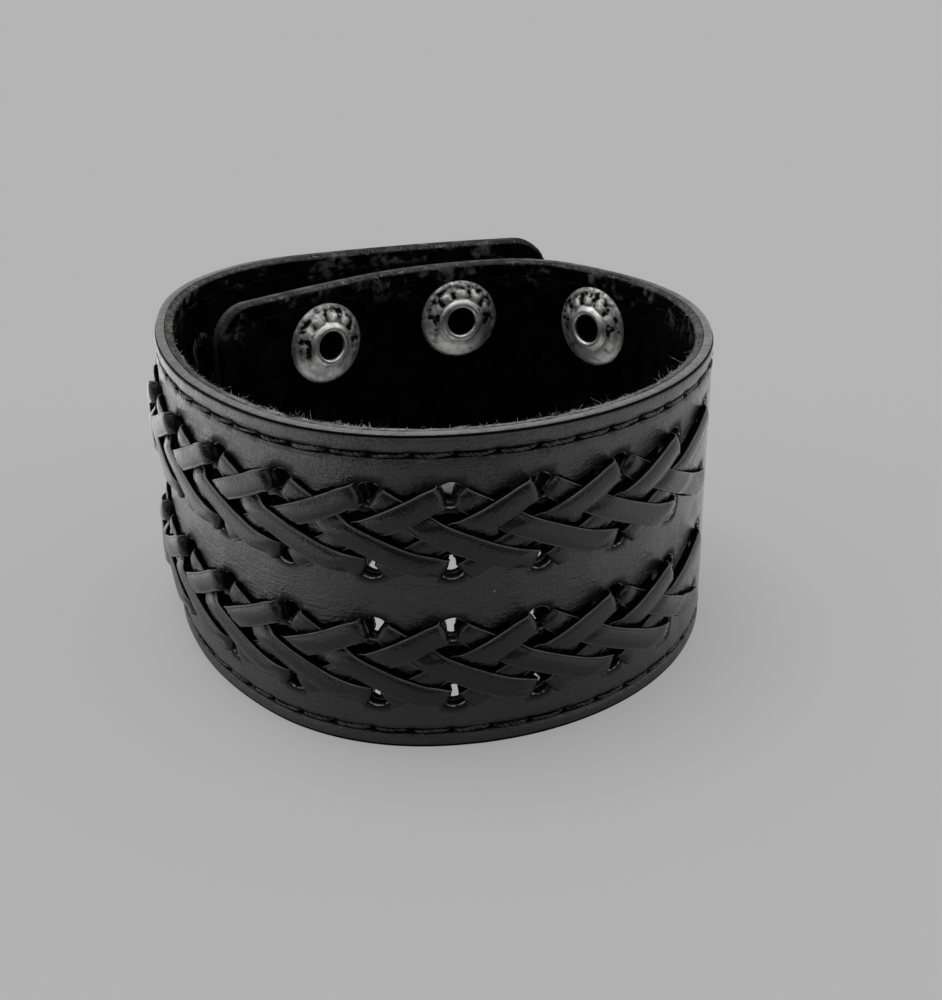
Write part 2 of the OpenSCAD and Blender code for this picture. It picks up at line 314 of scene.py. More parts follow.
@dataclass
class StrapPlan:
    """The plan of the loop as arcs, eased into each other, with the climb of its outer end.

    A station is a length along the seam between leather and backing, from the middle of the
    front, positive to the right. A depth is measured outwards from that seam.
    """

    # lengths and radii of the arcs, from the middle of the front to the right and to the left
    right_len: tuple[float, ...] = (20, 20, 20, 16, 11, 10.5, 11, 9.5, 24)
    right_rad: tuple[float, ...] = (34, 35.6, 37.2, 28.5, 50, 13, 50, 39.2, 176)
    left_len: tuple[float, ...] = (20, 20, 20, 25, 38.8)
    left_rad: tuple[float, ...] = (25.5, 51.7, 45.1, 21.5, 193)
    right_end: float = 142.0
    left_end: float = -123.8
    front: tuple[float, float] = (-0.23, -35.48)  # place of station 0
    hinge: float = -35.0  # station past which the left part climbs
    hinge_lead: float = 6.0  # how far before it the climb may begin
    hinge_ease: float = 1.5  # how softly it begins
    climb_deg: float = 2.94
    easing: float = 1.6  # spread of the average that eases the arcs
    easing_cells: int = 60  # steps on each side that the average takes in
    pad: float = 10.0  # how far the plan runs on past the strap's ends
    height: float = 38.0
    corner: float = 5.0
    inset_fade: float = 3.0  # how far from the edge the grid still moves inwards
    step: float = 0.1  # length between the plan's own points

    def __post_init__(self) -> None:
        """Sum the arcs into yaw and place, then ease both with a bell-shaped average."""
        n0 = round((-self.left_end + self.pad) / self.step)
        n1 = round((self.right_end + self.pad) / self.step)
        s = np.arange(-n0, n1 + 1) * self.step
        middle = (s[1:] + s[:-1]) / 2
        bend = np.where(
            middle < 0,
            self._curvature(-middle, self.left_len, self.left_rad),
            self._curvature(middle, self.right_len, self.right_rad),
        )
        yaw = np.concatenate([[0], np.cumsum(bend)]) * self.step
        yaw -= yaw[n0]
        half = (yaw[1:] + yaw[:-1]) / 2
        xy = np.stack([np.cos(half), np.sin(half)], 1) * self.step
        xy = np.vstack([[0, 0], np.cumsum(xy, 0)])
        xy += np.array(self.front) - xy[n0]
        reach = self.easing_cells
        kernel = bell(np.arange(-reach, reach + 1) * self.step, self.easing * math.sqrt(2))
        kernel /= kernel.sum()
        eased = np.stack([np.convolve(xy[:, i], kernel, "valid") for i in (0, 1)], 1)
        self._s = s[reach:-reach]
        self._xy = eased
        self._yaw = np.unwrap(np.arctan2(*np.gradient(eased, self.step, axis=0).T[::-1]))

    @staticmethod
    def _curvature(t: Array, lengths: tuple[float, ...], radii: tuple[float, ...]) -> Array:
        """Curvature of the arc that holds each length; the last arc runs on."""
        ends = np.cumsum(lengths)
        return 1 / np.array(radii)[np.clip(np.searchsorted(ends, t), 0, len(radii) - 1)]

    def yaw(self, s: Array) -> Array:
        """Direction of the strap in plan at a station, in radians."""
        return np.interp(s, self._s, self._yaw)

    def along(self, s: Array) -> Array:
        """Unit vectors along the strap, shape (..., 3)."""
        a = self.yaw(s)
        return np.stack([np.cos(a), np.sin(a), np.zeros_like(a)], -1)

    def outward(self, s: Array) -> Array:
        """Unit vectors out of the cuff, shape (..., 3)."""
        a = self.yaw(s)
        return np.stack([np.sin(a), -np.cos(a), np.zeros_like(a)], -1)

    def spot(self, s: Array, depth: Array, z: Array) -> Array:
        """Place of a station, depth and height.

        The place is the seam plus depth times the outward normal, raised past the hinge by the
        distance along the hinge's own direction times the tangent of the climb.

        Args:
            s: stations.
            depth: depths outwards from the seam.
            z: heights above the strap's lower edge.

        Returns:
            Points in millimetres, shape (..., 3).
        """
        s, depth, z = np.broadcast_arrays(np.asarray(s, float), depth, z)
        seam = np.stack([np.interp(s, self._s, self._xy[:, i]) for i in (0, 1)], -1)
        xy = seam + depth[..., None] * self.outward(s)[..., :2]
        pivot = np.array([np.interp(self.hinge, self._s, self._xy[:, i]) for i in (0, 1)])
        run = -(xy - pivot) @ self.along(np.array(self.hinge))[:2]
        eased = self.hinge_ease * np.logaddexp(0, run / self.hinge_ease)
        eased = np.where(s < self.hinge + self.hinge_lead, eased, 0.0)
        climb = math.tan(math.radians(self.climb_deg))
        return np.concatenate([xy, (z + eased * climb)[..., None]], -1)

    def inside(self, s: Array, z: Array) -> Array:
        """Distance from the strap's outline, a rectangle with round corners, positive inside.

        Args:
            s: stations.
            z: heights.

        Returns:
            Distances in millimetres.
        """
        qx, qz, far = self._corner_parts(s, z)
        return self.corner - np.hypot(np.maximum(qx, 0), np.maximum(qz, 0)) - np.minimum(far, 0)

    def _corner_parts(self, s: Array, z: Array) -> tuple[Array, Array, Array]:
        """How far a point lies past the centres of the corner circles.

        Args:
            s: stations.
            z: heights.

        Returns:
            The distance in s, the distance in z, and the larger of both.
        """
        mid_s, half_s = (self.right_end + self.left_end) / 2, (self.right_end - self.left_end) / 2
        qx = np.abs(s - mid_s) - (half_s - self.corner)
        qz = np.abs(z - self.height / 2) - (self.height / 2 - self.corner)
        return qx, qz, np.maximum(qx, qz)

    def inward(self, s: Array, z: Array) -> Array:
        """Unit direction from the nearest edge towards the middle of the strap.

        Args:
            s: stations.
            z: heights.

        Returns:
            Directions as (s, z), shape (..., 2).
        """
        qx, qz, _ = self._corner_parts(s, z)
        gx, gz = np.maximum(qx, 0), np.maximum(qz, 0)
        flat = (gx <= 0) & (gz <= 0)
        gx = np.where(flat, (qx > qz) * 1.0, gx)
        gz = np.where(flat, (qx <= qz) * 1.0, gz)
        size = np.maximum(np.hypot(gx, gz), TINY)
        mid_s = (self.right_end + self.left_end) / 2
        return np.stack([-np.sign(s - mid_s) * gx / size, -np.sign(z - self.height / 2) * gz / size], -1)

    def round_off(self, s: Array, z: Array, inset: float) -> tuple[Array, Array]:
        """Map a plain rectangle of stations and heights onto the strap's rounded outline.

        In each corner square the map is x = a sqrt(1 - b^2 / 2), y = b sqrt(1 - a^2 / 2), which
        turns the square into a quarter disc. Then points near the edge move inwards by the inset.

        Args:
            s: stations of the rectangle.
            z: heights of the rectangle.
            inset: how far the outer row moves in.

        Returns:
            Stations and heights on the rounded outline.
        """
        mid_s = (self.right_end + self.left_end) / 2
        qx, qz, _ = self._corner_parts(s, z)
        a, b = np.clip(qx / self.corner, 0, 1), np.clip(qz / self.corner, 0, 1)
        move_s = a * (1 - np.sqrt(1 - b * b / 2)) * self.corner
        move_z = b * (1 - np.sqrt(1 - a * a / 2)) * self.corner
        s2 = s - np.sign(s - mid_s) * move_s
        z2 = z - np.sign(z - self.height / 2) * move_z
        pull = inset * np.clip(1 - self.inside(s2, z2) / self.inset_fade, 0, 1)
        way = self.inward(s2, z2)
        return s2 + way[..., 0] * pull, z2 + way[..., 1] * pull


@dataclass
class HolePattern:
    """Where the strap is punched, and the grid lines that fit the holes.

    A square is half the width of the block of cells that becomes a hole.
    """

    columns: tuple[float, ...] = (
        -85.4, -75.4, -65.4, -55.6, -45.8, -36.2, -26.2, -15.9, -6, 2.3, 11.8, 21.6, 31.3, 40.8,
    )
    lace_heights: tuple[float, ...] = (6.75, 15.15, 22.85, 31.25)
    lace_radius: float = 1.42
    lace_square: float = 1.35
    snap_columns: tuple[float, ...] = (81.2, 103.6, 125.4)
    snap_heights: tuple[float, ...] = (7.8, 30.2)
    snap_radius: float = 2.66
    snap_square: float = 2.4
    cells: int = 6  # cells across a hole's block
    middle_cells: int = 6  # cells between the two braided rows
    margin_cells: int = 2  # cells between the edge zone and the next hole
    edge: float = 3.3  # width of the narrow zone at the edges
    row_change: tuple[float, float] = (54.5, 76.0)  # stations between braid and snaps

    def stations(self, plan: StrapPlan, step: float, edge_cells: int) -> tuple[Array, list[int]]:
        """Grid stations with the same number of even cells across every hole column.

        Args:
            plan: the strap's plan.
            step: wanted cell length between the holes.
            edge_cells: cells in the narrow zone at each strap end.

        Returns:
            The stations, and the number of the first grid line of each hole column.
        """
        legs = [(plan.left_end + self.edge, edge_cells)]
        starts = []
        last = plan.left_end + self.edge
        count = edge_cells
        blocks = [(c, self.lace_square) for c in self.columns]
        blocks += [(c, self.snap_square) for c in self.snap_columns]
        for middle, half in blocks:
            cells = max(2, round((middle - half - last) / step))
            legs += [(middle - half, cells), (middle + half, self.cells)]
            starts.append(count + cells)
            count += cells + self.cells
            last = middle + half
        end = plan.right_end - self.edge
        legs += [(end, max(2, round((end - last) / step))), (plan.right_end, edge_cells)]
        return stops(plan.left_end, *legs), starts

    def rows(self, plan: StrapPlan, edge_cells: int, wide_cells: int) -> tuple[Array, Array, list[int]]:
        """Grid heights for the braided stretch and for the snap stretch, with the same count.

        Args:
            plan: the strap's plan.
            edge_cells: cells in the narrow zone at each long edge.
            wide_cells: cells in each wide gap between hole rows.

        Returns:
            Heights for the braid, heights for the snaps, first grid line of each lace row.
        """
        n, margin, middle, top = self.cells, self.margin_cells, self.middle_cells, plan.height
        gaps = (margin, n, wide_cells, n, middle, n, wide_cells, n, margin)
        ends = [z + side * self.lace_square for z in self.lace_heights for side in (-1, 1)]
        ends.append(top - self.edge)
        braid = stops(0, (self.edge, edge_cells), *zip(ends, gaps), (top, edge_cells))
        half = self.snap_square
        low, high = self.snap_heights
        share = np.cumsum(gaps[2:7]) / sum(gaps[2:7])
        between = tuple(low + half + (high - low - 2 * half) * share)
        ends = (low - half, low + half, *between, high + half, top - self.edge)
        snaps = stops(0, (self.edge, edge_cells), *zip(ends, gaps), (top, edge_cells))
        starts = np.cumsum([edge_cells + margin, n + wide_cells, n + middle, n + wide_cells])
        return braid, snaps, [int(v) for v in starts]


@dataclass
class StitchLine:
    """The line of needle holes that runs round the strap inside its outline."""

    plan: StrapPlan
    pitch: float = 4.45
    low_inset: float = 2.0
    high_inset: float = 2.3
    first: float = 1.2  # about the station of one needle hole of the upper line
    corner_points: int = 24

    def inset(self, z: Array) -> Array:
        """Distance of the line from the edge, growing evenly from the lower edge to the upper."""
        return self.low_inset + (self.high_inset - self.low_inset) * np.clip(z / self.plan.height, 0, 1)

    def holes(self) -> Array:
        """Needle holes at even lengths round a rounded rectangle inside the outline.

        Returns:
            (station, height) pairs, once round the strap.
        """
        p = self.plan
        r = p.corner - self.low_inset
        left, right = p.left_end + self.low_inset + r, p.right_end - self.low_inset - r
        low, high = self.low_inset + r, p.height - self.high_inset - r
        corners = ((right, low, -1), (right, high, 0), (left, high, 1), (left, low, 2))
        quarter = np.linspace(0, math.pi / 2, self.corner_points)
        parts = []
        for cs, cz, turn in corners:
            t = quarter + turn * math.pi / 2
            parts.append(np.stack([cs + r * np.cos(t), cz + r * np.sin(t)], 1))
        path = np.vstack([*parts, parts[0][:1]])
        run = np.concatenate([[0], np.cumsum(np.hypot(*np.diff(path, axis=0).T))])
        n = round(run[-1] / self.pitch)
        upper_start = self.corner_points
        start = run[upper_start] + (path[upper_start, 0] - self.first)
        t = (start + np.arange(n) * run[-1] / n) % run[-1]
        return np.stack([np.interp(t, run, path[:, i]) for i in (0, 1)], 1)


# Finishes

# Settings that several nodes share.
MULTIPLY = {"operation": "MULTIPLY", "use_clamp": True}
ADD = {"operation": "ADD", "use_clamp": True}
LARGER = {"operation": "MAXIMUM", "use_clamp": True}
SMOOTH = {"interpolation_type": "SMOOTHSTEP"}
# The pattern coordinates are millimetres, not metres, so this size gives one patch a millimetre.
PATTERN_MM = 1 / MM
WHITE = "#ffffff"


def colour(hex_text: str) -> tuple[float, float, float, float]:
    """Linear colour of an sRGB hex value.

    Args:
        hex_text: six hex digits after a hash.

    Returns:
        Red, green, blue and alpha, linear.
    """
    parts = [int(hex_text[i : i + 2], 16) / 255 for i in (1, 3, 5)]
    lin = [c / 12.92 if c <= 0.04045 else ((c + 0.055) / 1.055) ** 2.4 for c in parts]
    return (*lin, 1.0)


def add_node(tree: Tree, kind: str, inputs: dict | None = None, **settings: object) -> Node:
    """Add one shader node with its settings, values and links.

    The numbered inputs of a map range are the two levels it reads and the two values it gives.

    Args:
        tree: the node tree.
        kind: the node's type name after ShaderNode.
        inputs: values, sockets, or nodes for their first output, by input name or number.
        settings: node properties.

    Returns:
        The new node.
    """
    node = tree.nodes.new("ShaderNode" + kind)
    for key, value in settings.items():
        setattr(node, key, value)
    for key, value in (inputs or {}).items():
        if isinstance(value, Node):
            value = value.outputs[0]
        if isinstance(value, Socket):
            tree.links.new(value, node.inputs[key])
        else:
            node.inputs[key].default_value = value
    return node


@dataclass(frozen=True)
class Finish:
    """What every finish shares: its name, the empty material, and how its layers are laid."""

    name: str

    def start(self) -> tuple[Material, Tree, Socket]:
        """New material with nodes.

        Returns:
            The material, its empty tree and an Object coordinate socket.
        """
        material = bpy.data.materials.new(self.name)
        material.use_nodes = True
        tree = material.node_tree
        tree.nodes.clear()
        place = add_node(tree, "TexCoord").outputs["Object"]
        return material, tree, place

    @staticmethod
    def cloud(
        tree: Tree,
        place: Socket | Node,
        size_mm: float,
        detail: float = 3.0,
        low: float = 0.35,
        high: float = 0.65,
        to: tuple[float, float] = (0.0, 1.0),
    ) -> Node:
        """Cloudy pattern, stretched to full contrast between two levels of its noise.

        Args:
            tree: the node tree.
            place: coordinates in metres.
            size_mm: size of one patch.
            detail: octaves.
            low: noise level that gives the first value.
            high: noise level that gives the second value.
            to: first and second value.

        Returns:
            Node with the value.
        """
        noise = add_node(
            tree, "TexNoise", {"Vector": place, "Scale": 1 / (size_mm * MM), "Detail": detail}
        )
        levels = {"Value": noise, 1: low, 2: high, 3: to[0], 4: to[1]}
        return add_node(tree, "MapRange", levels, **SMOOTH)

    @staticmethod
    def coats(tree: Tree, base: str, *coats: tuple[Socket | Node, str]) -> Socket:
        """Lay coats of colour over a base, each one where its own mask says.

        Args:
            tree: the node tree.
            base: the base's colour.
            coats: mask and colour of each coat, the lowest one first.

        Returns:
            Socket with the colour on top.
        """
        skin = colour(base)
        for mask, tone in coats:
            mix = add_node(tree, "Mix", {0: mask, 6: skin, 7: colour(tone)}, data_type="RGBA")
            skin = mix.outputs[2]
        return skin

    @staticmethod
    def relief(tree: Tree, *heights: tuple[Socket | Node, float, float]) -> Node:
        """Normals of several heights, added one on the other.

        Args:
            tree: the node tree.
            heights: pattern, strength and millimetres of each; a negative strength digs in.

        Returns:
            Node with the normal.
        """
        inputs = {}
        for pattern, strength, height_mm in heights:
            inputs |= {"Height": pattern, "Strength": abs(strength), "Distance": height_mm * MM}
            inputs["Normal"] = add_node(tree, "Bump", inputs, invert=strength < 0)
        return inputs["Normal"]

    @staticmethod
    def surface(tree: Tree, inputs: dict) -> None:
        """Add the surface shader with its inputs, and show it."""
        shader = add_node(tree, "BsdfPrincipled", inputs)
        add_node(tree, "OutputMaterial", {"Surface": shader})


@dataclass(frozen=True)
class FinishedLeather(Finish):
    """Chrome-tanned cowhide with a black pigment finish, plated smooth and polished.

    The finish gives a satin skin with a very fine pore grain and faint creases along the strap.
    Bent places show more of it, and the punched edges show the pale fibres of the hide.
    """

    dark: str = "#0d0d0e"
    light: str = "#19191a"
    # rubbed colour: partly real rubbing, partly a painted highlight on the laces' edges and the top edge
    wear_and_highlight: str = "#4e4e4d"
    core: str = "#b3b2b0"
    dust: str = "#9a9996"
    # painted shade: the near-black of grooves, bores, needle holes, creases and the strap round the laces
    painted_shade: str = "#020202"
    roughness: tuple[float, float] = (0.24, 0.36)
    shine: float = 0.5
    grain_mm: float = 0.42
    crease: float = 1.0
    grain: float = 1.0

    def make(self) -> Material:
        """Build the node tree.

        The black has lighter patches and streaks along the strap, rubbed rims, pale cut fibres and
        specks of dust. The rubbed colour also paints a highlight along the laces' edges and the strap's
        top edge, and painted shade makes grooves, bores, needle holes and the strap round the laces
        darker, rougher and without shine.

        Returns:
            The material.
        """
        material, tree, place = self.start()
        rim, cut, off, dark = (
            add_node(tree, "Attribute", attribute_name=name).outputs["Fac"]
            for name in ("rim", "cut", "off", "dark")
        )
        pattern = add_node(tree, "TexCoord").outputs["UV"]
        drawn = add_node(tree, "Mapping", {"Vector": pattern, "Scale": (0.5, 3.6, 1.0)})
        streak = self.cloud(tree, drawn, PATTERN_MM, 5.0, 0.34, 0.66)
        streak = add_node(tree, "Math", {0: streak, 1: 0.4}, **MULTIPLY)
        patch = self.cloud(tree, place, 9.0, 3.0, 0.35, 0.65, (0.0, 0.6))
        patch = add_node(tree, "Math", {0: patch, 1: streak}, **ADD)
        # real rubbing near the edges, and a painted highlight where the rim attribute marks lace edges and
        # the top edge
        rub_and_highlight = self.cloud(tree, place, 1.6, 4.0, 0.3, 0.6, (0.4, 1.0))
        rub_and_highlight = add_node(tree, "Math", {0: rim, 1: rub_and_highlight}, **MULTIPLY)
        pale = self.cloud(tree, place, 0.45, 3.0, 0.42, 0.6)
        pale = add_node(tree, "Math", {0: cut, 1: pale}, **MULTIPLY)
        # painted shade along the stitch groove and round the laces' outlines; the groove also gives the
        # bump
        ragged = add_node(tree, "TexNoise", {"Vector": place, "Scale": 1 / (0.7 * MM), "Detail": 4.0})
        gap = add_node(tree, "Math", {0: ragged, 1: 0.22, 2: off}, operation="MULTIPLY_ADD")
        groove = add_node(tree, "MapRange", {"Value": gap, 1: 0.4, 2: 0.52, 3: 1.0, 4: 0.0}, **SMOOTH)
        # the painted shade: the dark attribute and the groove together
        deep = add_node(tree, "Math", {0: dark, 1: groove}, **LARGER)
        skin = self.coats(
            tree, self.dark, (patch, self.light), (rub_and_highlight, self.wear_and_highlight), (pale, self.core),
            (self.specks(tree, place), self.dust), (deep, self.painted_shade),
        )
        rough = self.cloud(tree, place, 2.4, 3.0, 0.3, 0.7, self.roughness)
        # the painted shade is also rougher and loses its shine
        sunk = add_node(tree, "Math", {0: deep, 1: 0.55}, **MULTIPLY)
        rough = add_node(tree, "Math", {0: rough, 1: sunk}, **ADD)
        gloss = add_node(tree, "MapRange", {"Value": deep, 1: 0.0, 2: 1.0, 3: self.shine, 4: 0.03})
        self.surface(tree, {
            "Base Color": skin, "Roughness": rough, "IOR": 1.5, "Specular IOR Level": gloss,
            "Normal": self.skin_relief(tree, place, groove),
        })
        return material

    def specks(self, tree: Tree, place: Socket) -> Node:
        """Fine dust: a small dot in some cells of a 3.6 mm cell pattern.

        Args:
            tree: the node tree.
            place: coordinates in metres.

        Returns:
            Node that gives 1 on a dot.
        """
        cells = add_node(tree, "TexVoronoi", {"Vector": place, "Scale": 1 / (3.6 * MM)}, feature="F1")
        near = add_node(tree, "MapRange", {"Value": cells, 1: 0.014, 2: 0.034, 3: 1.0, 4: 0.0})
        some = add_node(tree, "SeparateColor", {"Color": cells.outputs["Color"]})
        some = add_node(tree, "Math", {0: some, 1: 0.7}, operation="GREATER_THAN")
        return add_node(tree, "Math", {0: near, 1: some}, **MULTIPLY)

    def skin_relief(self, tree: Tree, place: Socket, groove: Node) -> Node:
        """Normals of slow swells, fine creases along the strap, pores, grit and the stitch groove.

        The pores are drawn coarser than real ones, so that they show in the render.

        Args:
            tree: the node tree.
            place: coordinates in metres.
            groove: 1 in the stitch groove.

        Returns:
            Node with the normal.
        """
        pattern = add_node(tree, "TexCoord").outputs["UV"]
        long = add_node(tree, "Mapping", {"Vector": pattern, "Scale": (0.2, 1.7, 1.0)})
        short = add_node(tree, "Mapping", {"Vector": pattern, "Scale": (0.9, 4.2, 1.0)})
        swell = add_node(tree, "TexNoise", {"Vector": place, "Scale": 1 / (5.5 * MM), "Detail": 2.0})
        folds, lines = (
            add_node(tree, "TexNoise", {"Vector": v, "Scale": 1.0, "Detail": n, "Distortion": bend})
            for v, n, bend in ((long, 5.0, 0.4), (short, 4.0, 0.8))
        )
        pore_size = {"Vector": place, "Scale": 1 / (self.grain_mm * MM)}
        pores = add_node(tree, "TexVoronoi", pore_size, feature="F1")
        grit = add_node(tree, "TexNoise", {"Vector": place, "Scale": 1 / (0.24 * MM), "Detail": 3.0})
        return self.relief(
            tree, (swell, 0.5, 0.4 * self.crease), (folds, 0.5, 0.16 * self.crease),
            (lines, 0.5, 0.16 * self.crease * self.grain), (pores, 0.5, 0.08 * self.grain),
            (grit, 0.5, 0.07 * self.grain), (groove, -0.8, 0.3),
        )


@dataclass(frozen=True)
class Suede(Finish):
    """Black split suede, buffed to a nap.

    The nap swallows the light, so it is nearly black, with grey lint near the edges, painted stronger
    towards the top as painted light, and pale rubbed fibres along the top edge, partly a painted highlight.
    """

    deep: str = "#020202"
    lit: str = "#080808"
    # grey lint flecks, painted lighter towards the top edge as painted light
    fleck_and_top_light: str = "#4c4c4c"
    edge: str = "#8a8a89"

    def make(self) -> Material:
        """Build the node tree.

        Returns:
            The material.
        """
        material, tree, place = self.start()
        rim, cut = (
            add_node(tree, "Attribute", attribute_name=name).outputs["Fac"] for name in ("rim", "cut")
        )
        nap = self.cloud(tree, place, 3.2, 6.0, 0.42, 0.64)
        clumps = self.cloud(tree, place, 3.6, 2.0, 0.5, 0.62)
        lint = self.cloud(tree, place, 1.1, 4.0, 0.4, 0.66)
        flecks = add_node(tree, "Math", {0: clumps, 1: lint}, **MULTIPLY)
        # painted light: the flecks grow from faint to full towards the top edge, by the rim attribute
        near = add_node(tree, "MapRange", {"Value": rim, 1: 0.12, 2: 0.75, 3: 0.03, 4: 1.0})
        flecks = add_node(tree, "Math", {0: flecks, 1: near}, **MULTIPLY)
        fine = self.cloud(tree, place, 0.5, 5.0, 0.3, 0.56, (0.4, 1.0))
        # pale torn fibres, painted only on the top edge and brightest at the front, partly a painted
        # highlight
        fray = add_node(tree, "Math", {0: cut, 1: fine}, **MULTIPLY)
        broad = self.cloud(tree, place, 5.0, 3.0, 0.4, 0.6, (0.6, 1.0))
        fray = add_node(tree, "Math", {0: fray, 1: broad}, **MULTIPLY)
        fibres = add_node(tree, "TexNoise", {"Vector": place, "Scale": 1 / (0.3 * MM), "Detail": 5.0})
        tufts = add_node(tree, "TexNoise", {"Vector": place, "Scale": 1 / (1.4 * MM), "Detail": 4.0})
        self.surface(tree, {
            "Base Color": self.coats(
                tree, self.deep, (nap, self.lit), (flecks, self.fleck_and_top_light), (fray, self.edge)
            ),
            "Roughness": 1.0, "Specular IOR Level": 0.02,
            "Normal": self.relief(tree, (tufts, 0.8, 0.5), (fibres, 0.9, 0.2)),
        })
        return material


@dataclass(frozen=True)
class LooseFibre(Finish):
    """Split-leather fibre, torn and dusty: dull grey hairs of uneven tone."""

    dark: str = "#3b3b3b"
    light: str = "#c4c4c3"

    def make(self) -> Material:
        """Build the node tree.

        Returns:
            The material.
        """
        material, tree, place = self.start()
        hue = self.coats(tree, self.dark, (self.cloud(tree, place, 1.4, 4.0, 0.4, 0.62), self.light))
        self.surface(tree, {"Base Color": hue, "Roughness": 0.85, "Specular IOR Level": 0.2})
        return material


@dataclass(frozen=True)
class WaxedThread(Finish):
    """Black waxed polyester sewing thread, twisted from two plies: a soft sheen on dark fibres."""

    dark: str = "#0b0b0b"
    light: str = "#2a2929"
    painted_shade: str = "#010101"

    def make(self) -> Material:
        """Build the node tree.

        Returns:
            The material.
        """
        material, tree, place = self.start()
        # deep is painted shade: between the plies, in the needle holes and over the whole thread inside the
        # cuff
        deep = add_node(tree, "Attribute", attribute_name="deep").outputs["Fac"]
        tone = self.cloud(tree, place, 0.8, 4.0)
        gloss = add_node(tree, "MapRange", {"Value": deep, 1: 0.0, 2: 1.0, 3: 0.5, 4: 0.04})
        hair = add_node(tree, "TexNoise", {"Vector": place, "Scale": 1 / (0.12 * MM), "Detail": 2.0})
        self.surface(tree, {
            "Base Color": self.coats(tree, self.dark, (tone, self.light), (deep, self.painted_shade)),
            "Roughness": self.cloud(tree, place, 0.5, 2.0, 0.3, 0.7, (0.3, 0.7)),
            "Specular IOR Level": gloss, "Normal": self.relief(tree, (hair, 0.6, 0.05)),
        })
        return material


@dataclass(frozen=True)
class WornNickel(Finish):
    """Pressed brass with a nickel plate that has gone dull.

    Rubbed parts stay bright, fine scratches soften the shine and there are tarnished spots; the
    bores and the crimp marks round the rings' upper halves are painted dark as shade.
    """

    bright: str = "#e6e6e5"
    dull: str = "#bcbcbb"
    # tarnished spots, and the painted shade of the bores and crimp marks
    tarnish_and_shade: str = "#181817"

    def make(self) -> Material:
        """Build the node tree.

        Returns:
            The material.
        """
        material, tree, place = self.start()
        deep = add_node(tree, "Attribute", attribute_name="deep").outputs["Fac"]
        tone = self.cloud(tree, place, 1.8, 4.0)
        patches = self.cloud(tree, place, 0.7, 5.0, 0.3, 0.64, (0.6, 1.7))
        # deep is painted shade: the crimp marks and the black bore; random spots add tarnished patches
        tarnish_and_shade_mask = add_node(tree, "Math", {0: deep, 1: patches}, **MULTIPLY)
        bore = add_node(tree, "MapRange", {"Value": deep, 1: 0.9, 2: 1.0, 3: 0.0, 4: 1.0})
        tarnish_and_shade_mask = add_node(tree, "Math", {0: tarnish_and_shade_mask, 1: bore}, **LARGER)
        spots = self.cloud(tree, place, 0.9, 5.0, 0.56, 0.72, (0.0, 0.4))
        tarnish_and_shade_mask = add_node(tree, "Math", {0: tarnish_and_shade_mask, 1: spots}, **ADD)
        rough = self.cloud(tree, place, 0.9, 4.0, 0.3, 0.7, (0.3, 0.52))
        crust = add_node(tree, "Math", {0: tarnish_and_shade_mask, 1: 0.35}, **MULTIPLY)
        rough = add_node(tree, "Math", {0: rough, 1: crust}, **ADD)
        brushed = {"Vector": place, "Scale": (1.0, 1.0, 0.08), "Rotation": (0.5, 0.9, 0.3)}
        scratch = add_node(tree, "Mapping", brushed)
        lines = add_node(tree, "TexNoise", {"Vector": scratch, "Scale": 1 / (0.09 * MM), "Detail": 2.0})
        waves = add_node(tree, "TexNoise", {"Vector": place, "Scale": 1 / (0.9 * MM), "Detail": 3.0})
        self.surface(tree, {
            "Base Color": self.coats(tree, self.bright, (tone, self.dull), (tarnish_and_shade_mask, self.tarnish_and_shade)),
            "Metallic": 1.0, "Roughness": rough,
            "Normal": self.relief(tree, (waves, 0.4, 0.14), (lines, 0.2, 0.02)),
        })
        return material


@dataclass(frozen=True)
class PlainPaper(Finish):
    """Matt paper, lit partly from behind, so that it looks even: tone for its dye, glow for the rest.

    The side glows are added on its left and on its right part, each over a short ramp in metres.
    """

    tone: str = "#888888"
    glow: float = 0.25
    left_glow: float = 0.0
    right_glow: float = 0.0
    left_ramp: tuple[float, float] = (-0.045, -0.09)
    right_ramp: tuple[float, float] = (0.03, 0.06)

    def make(self) -> Material:
        """Build the node tree.

        Returns:
            The material.
        """
        material, tree, place = self.start()
        glow = self.glow
        if self.left_glow or self.right_glow:
            across = add_node(tree, "SeparateXYZ", {0: place})
            sides = [
                add_node(tree, "MapRange", {"Value": across, 1: ramp[0], 2: ramp[1], 3: low, 4: high})
                for ramp, low, high in (
                    (self.left_ramp, 0.0, self.left_glow),
                    (self.right_ramp, self.glow, self.glow + self.right_glow),
                )
            ]
            glow = add_node(tree, "Math", {0: sides[0], 1: sides[1]}, operation="ADD")
        self.surface(tree, {
            "Base Color": colour(self.tone), "Roughness": 1.0, "Specular IOR Level": 0.0,
            "Emission Color": colour(WHITE), "Emission Strength": glow,
        })
        return material


# Strap


@dataclass(frozen=True)
class Layer:
    """One layer of the strap: its two faces, the section of its edge and its grid.

    Each row of the edge is (distance inside the outline, depth, darkness of painted shade, paleness).
    """

    name: str
    outer: float  # depth of the outer face
    inner: float  # depth of the inner face
    edge: tuple[tuple[float, float, float, float], ...]
    step: float  # length of a grid cell
    edge_cells: int  # cells across the edge zone
    wide_cells: int  # cells across a wide gap between hole rows
    fray: float  # how far the edge is torn


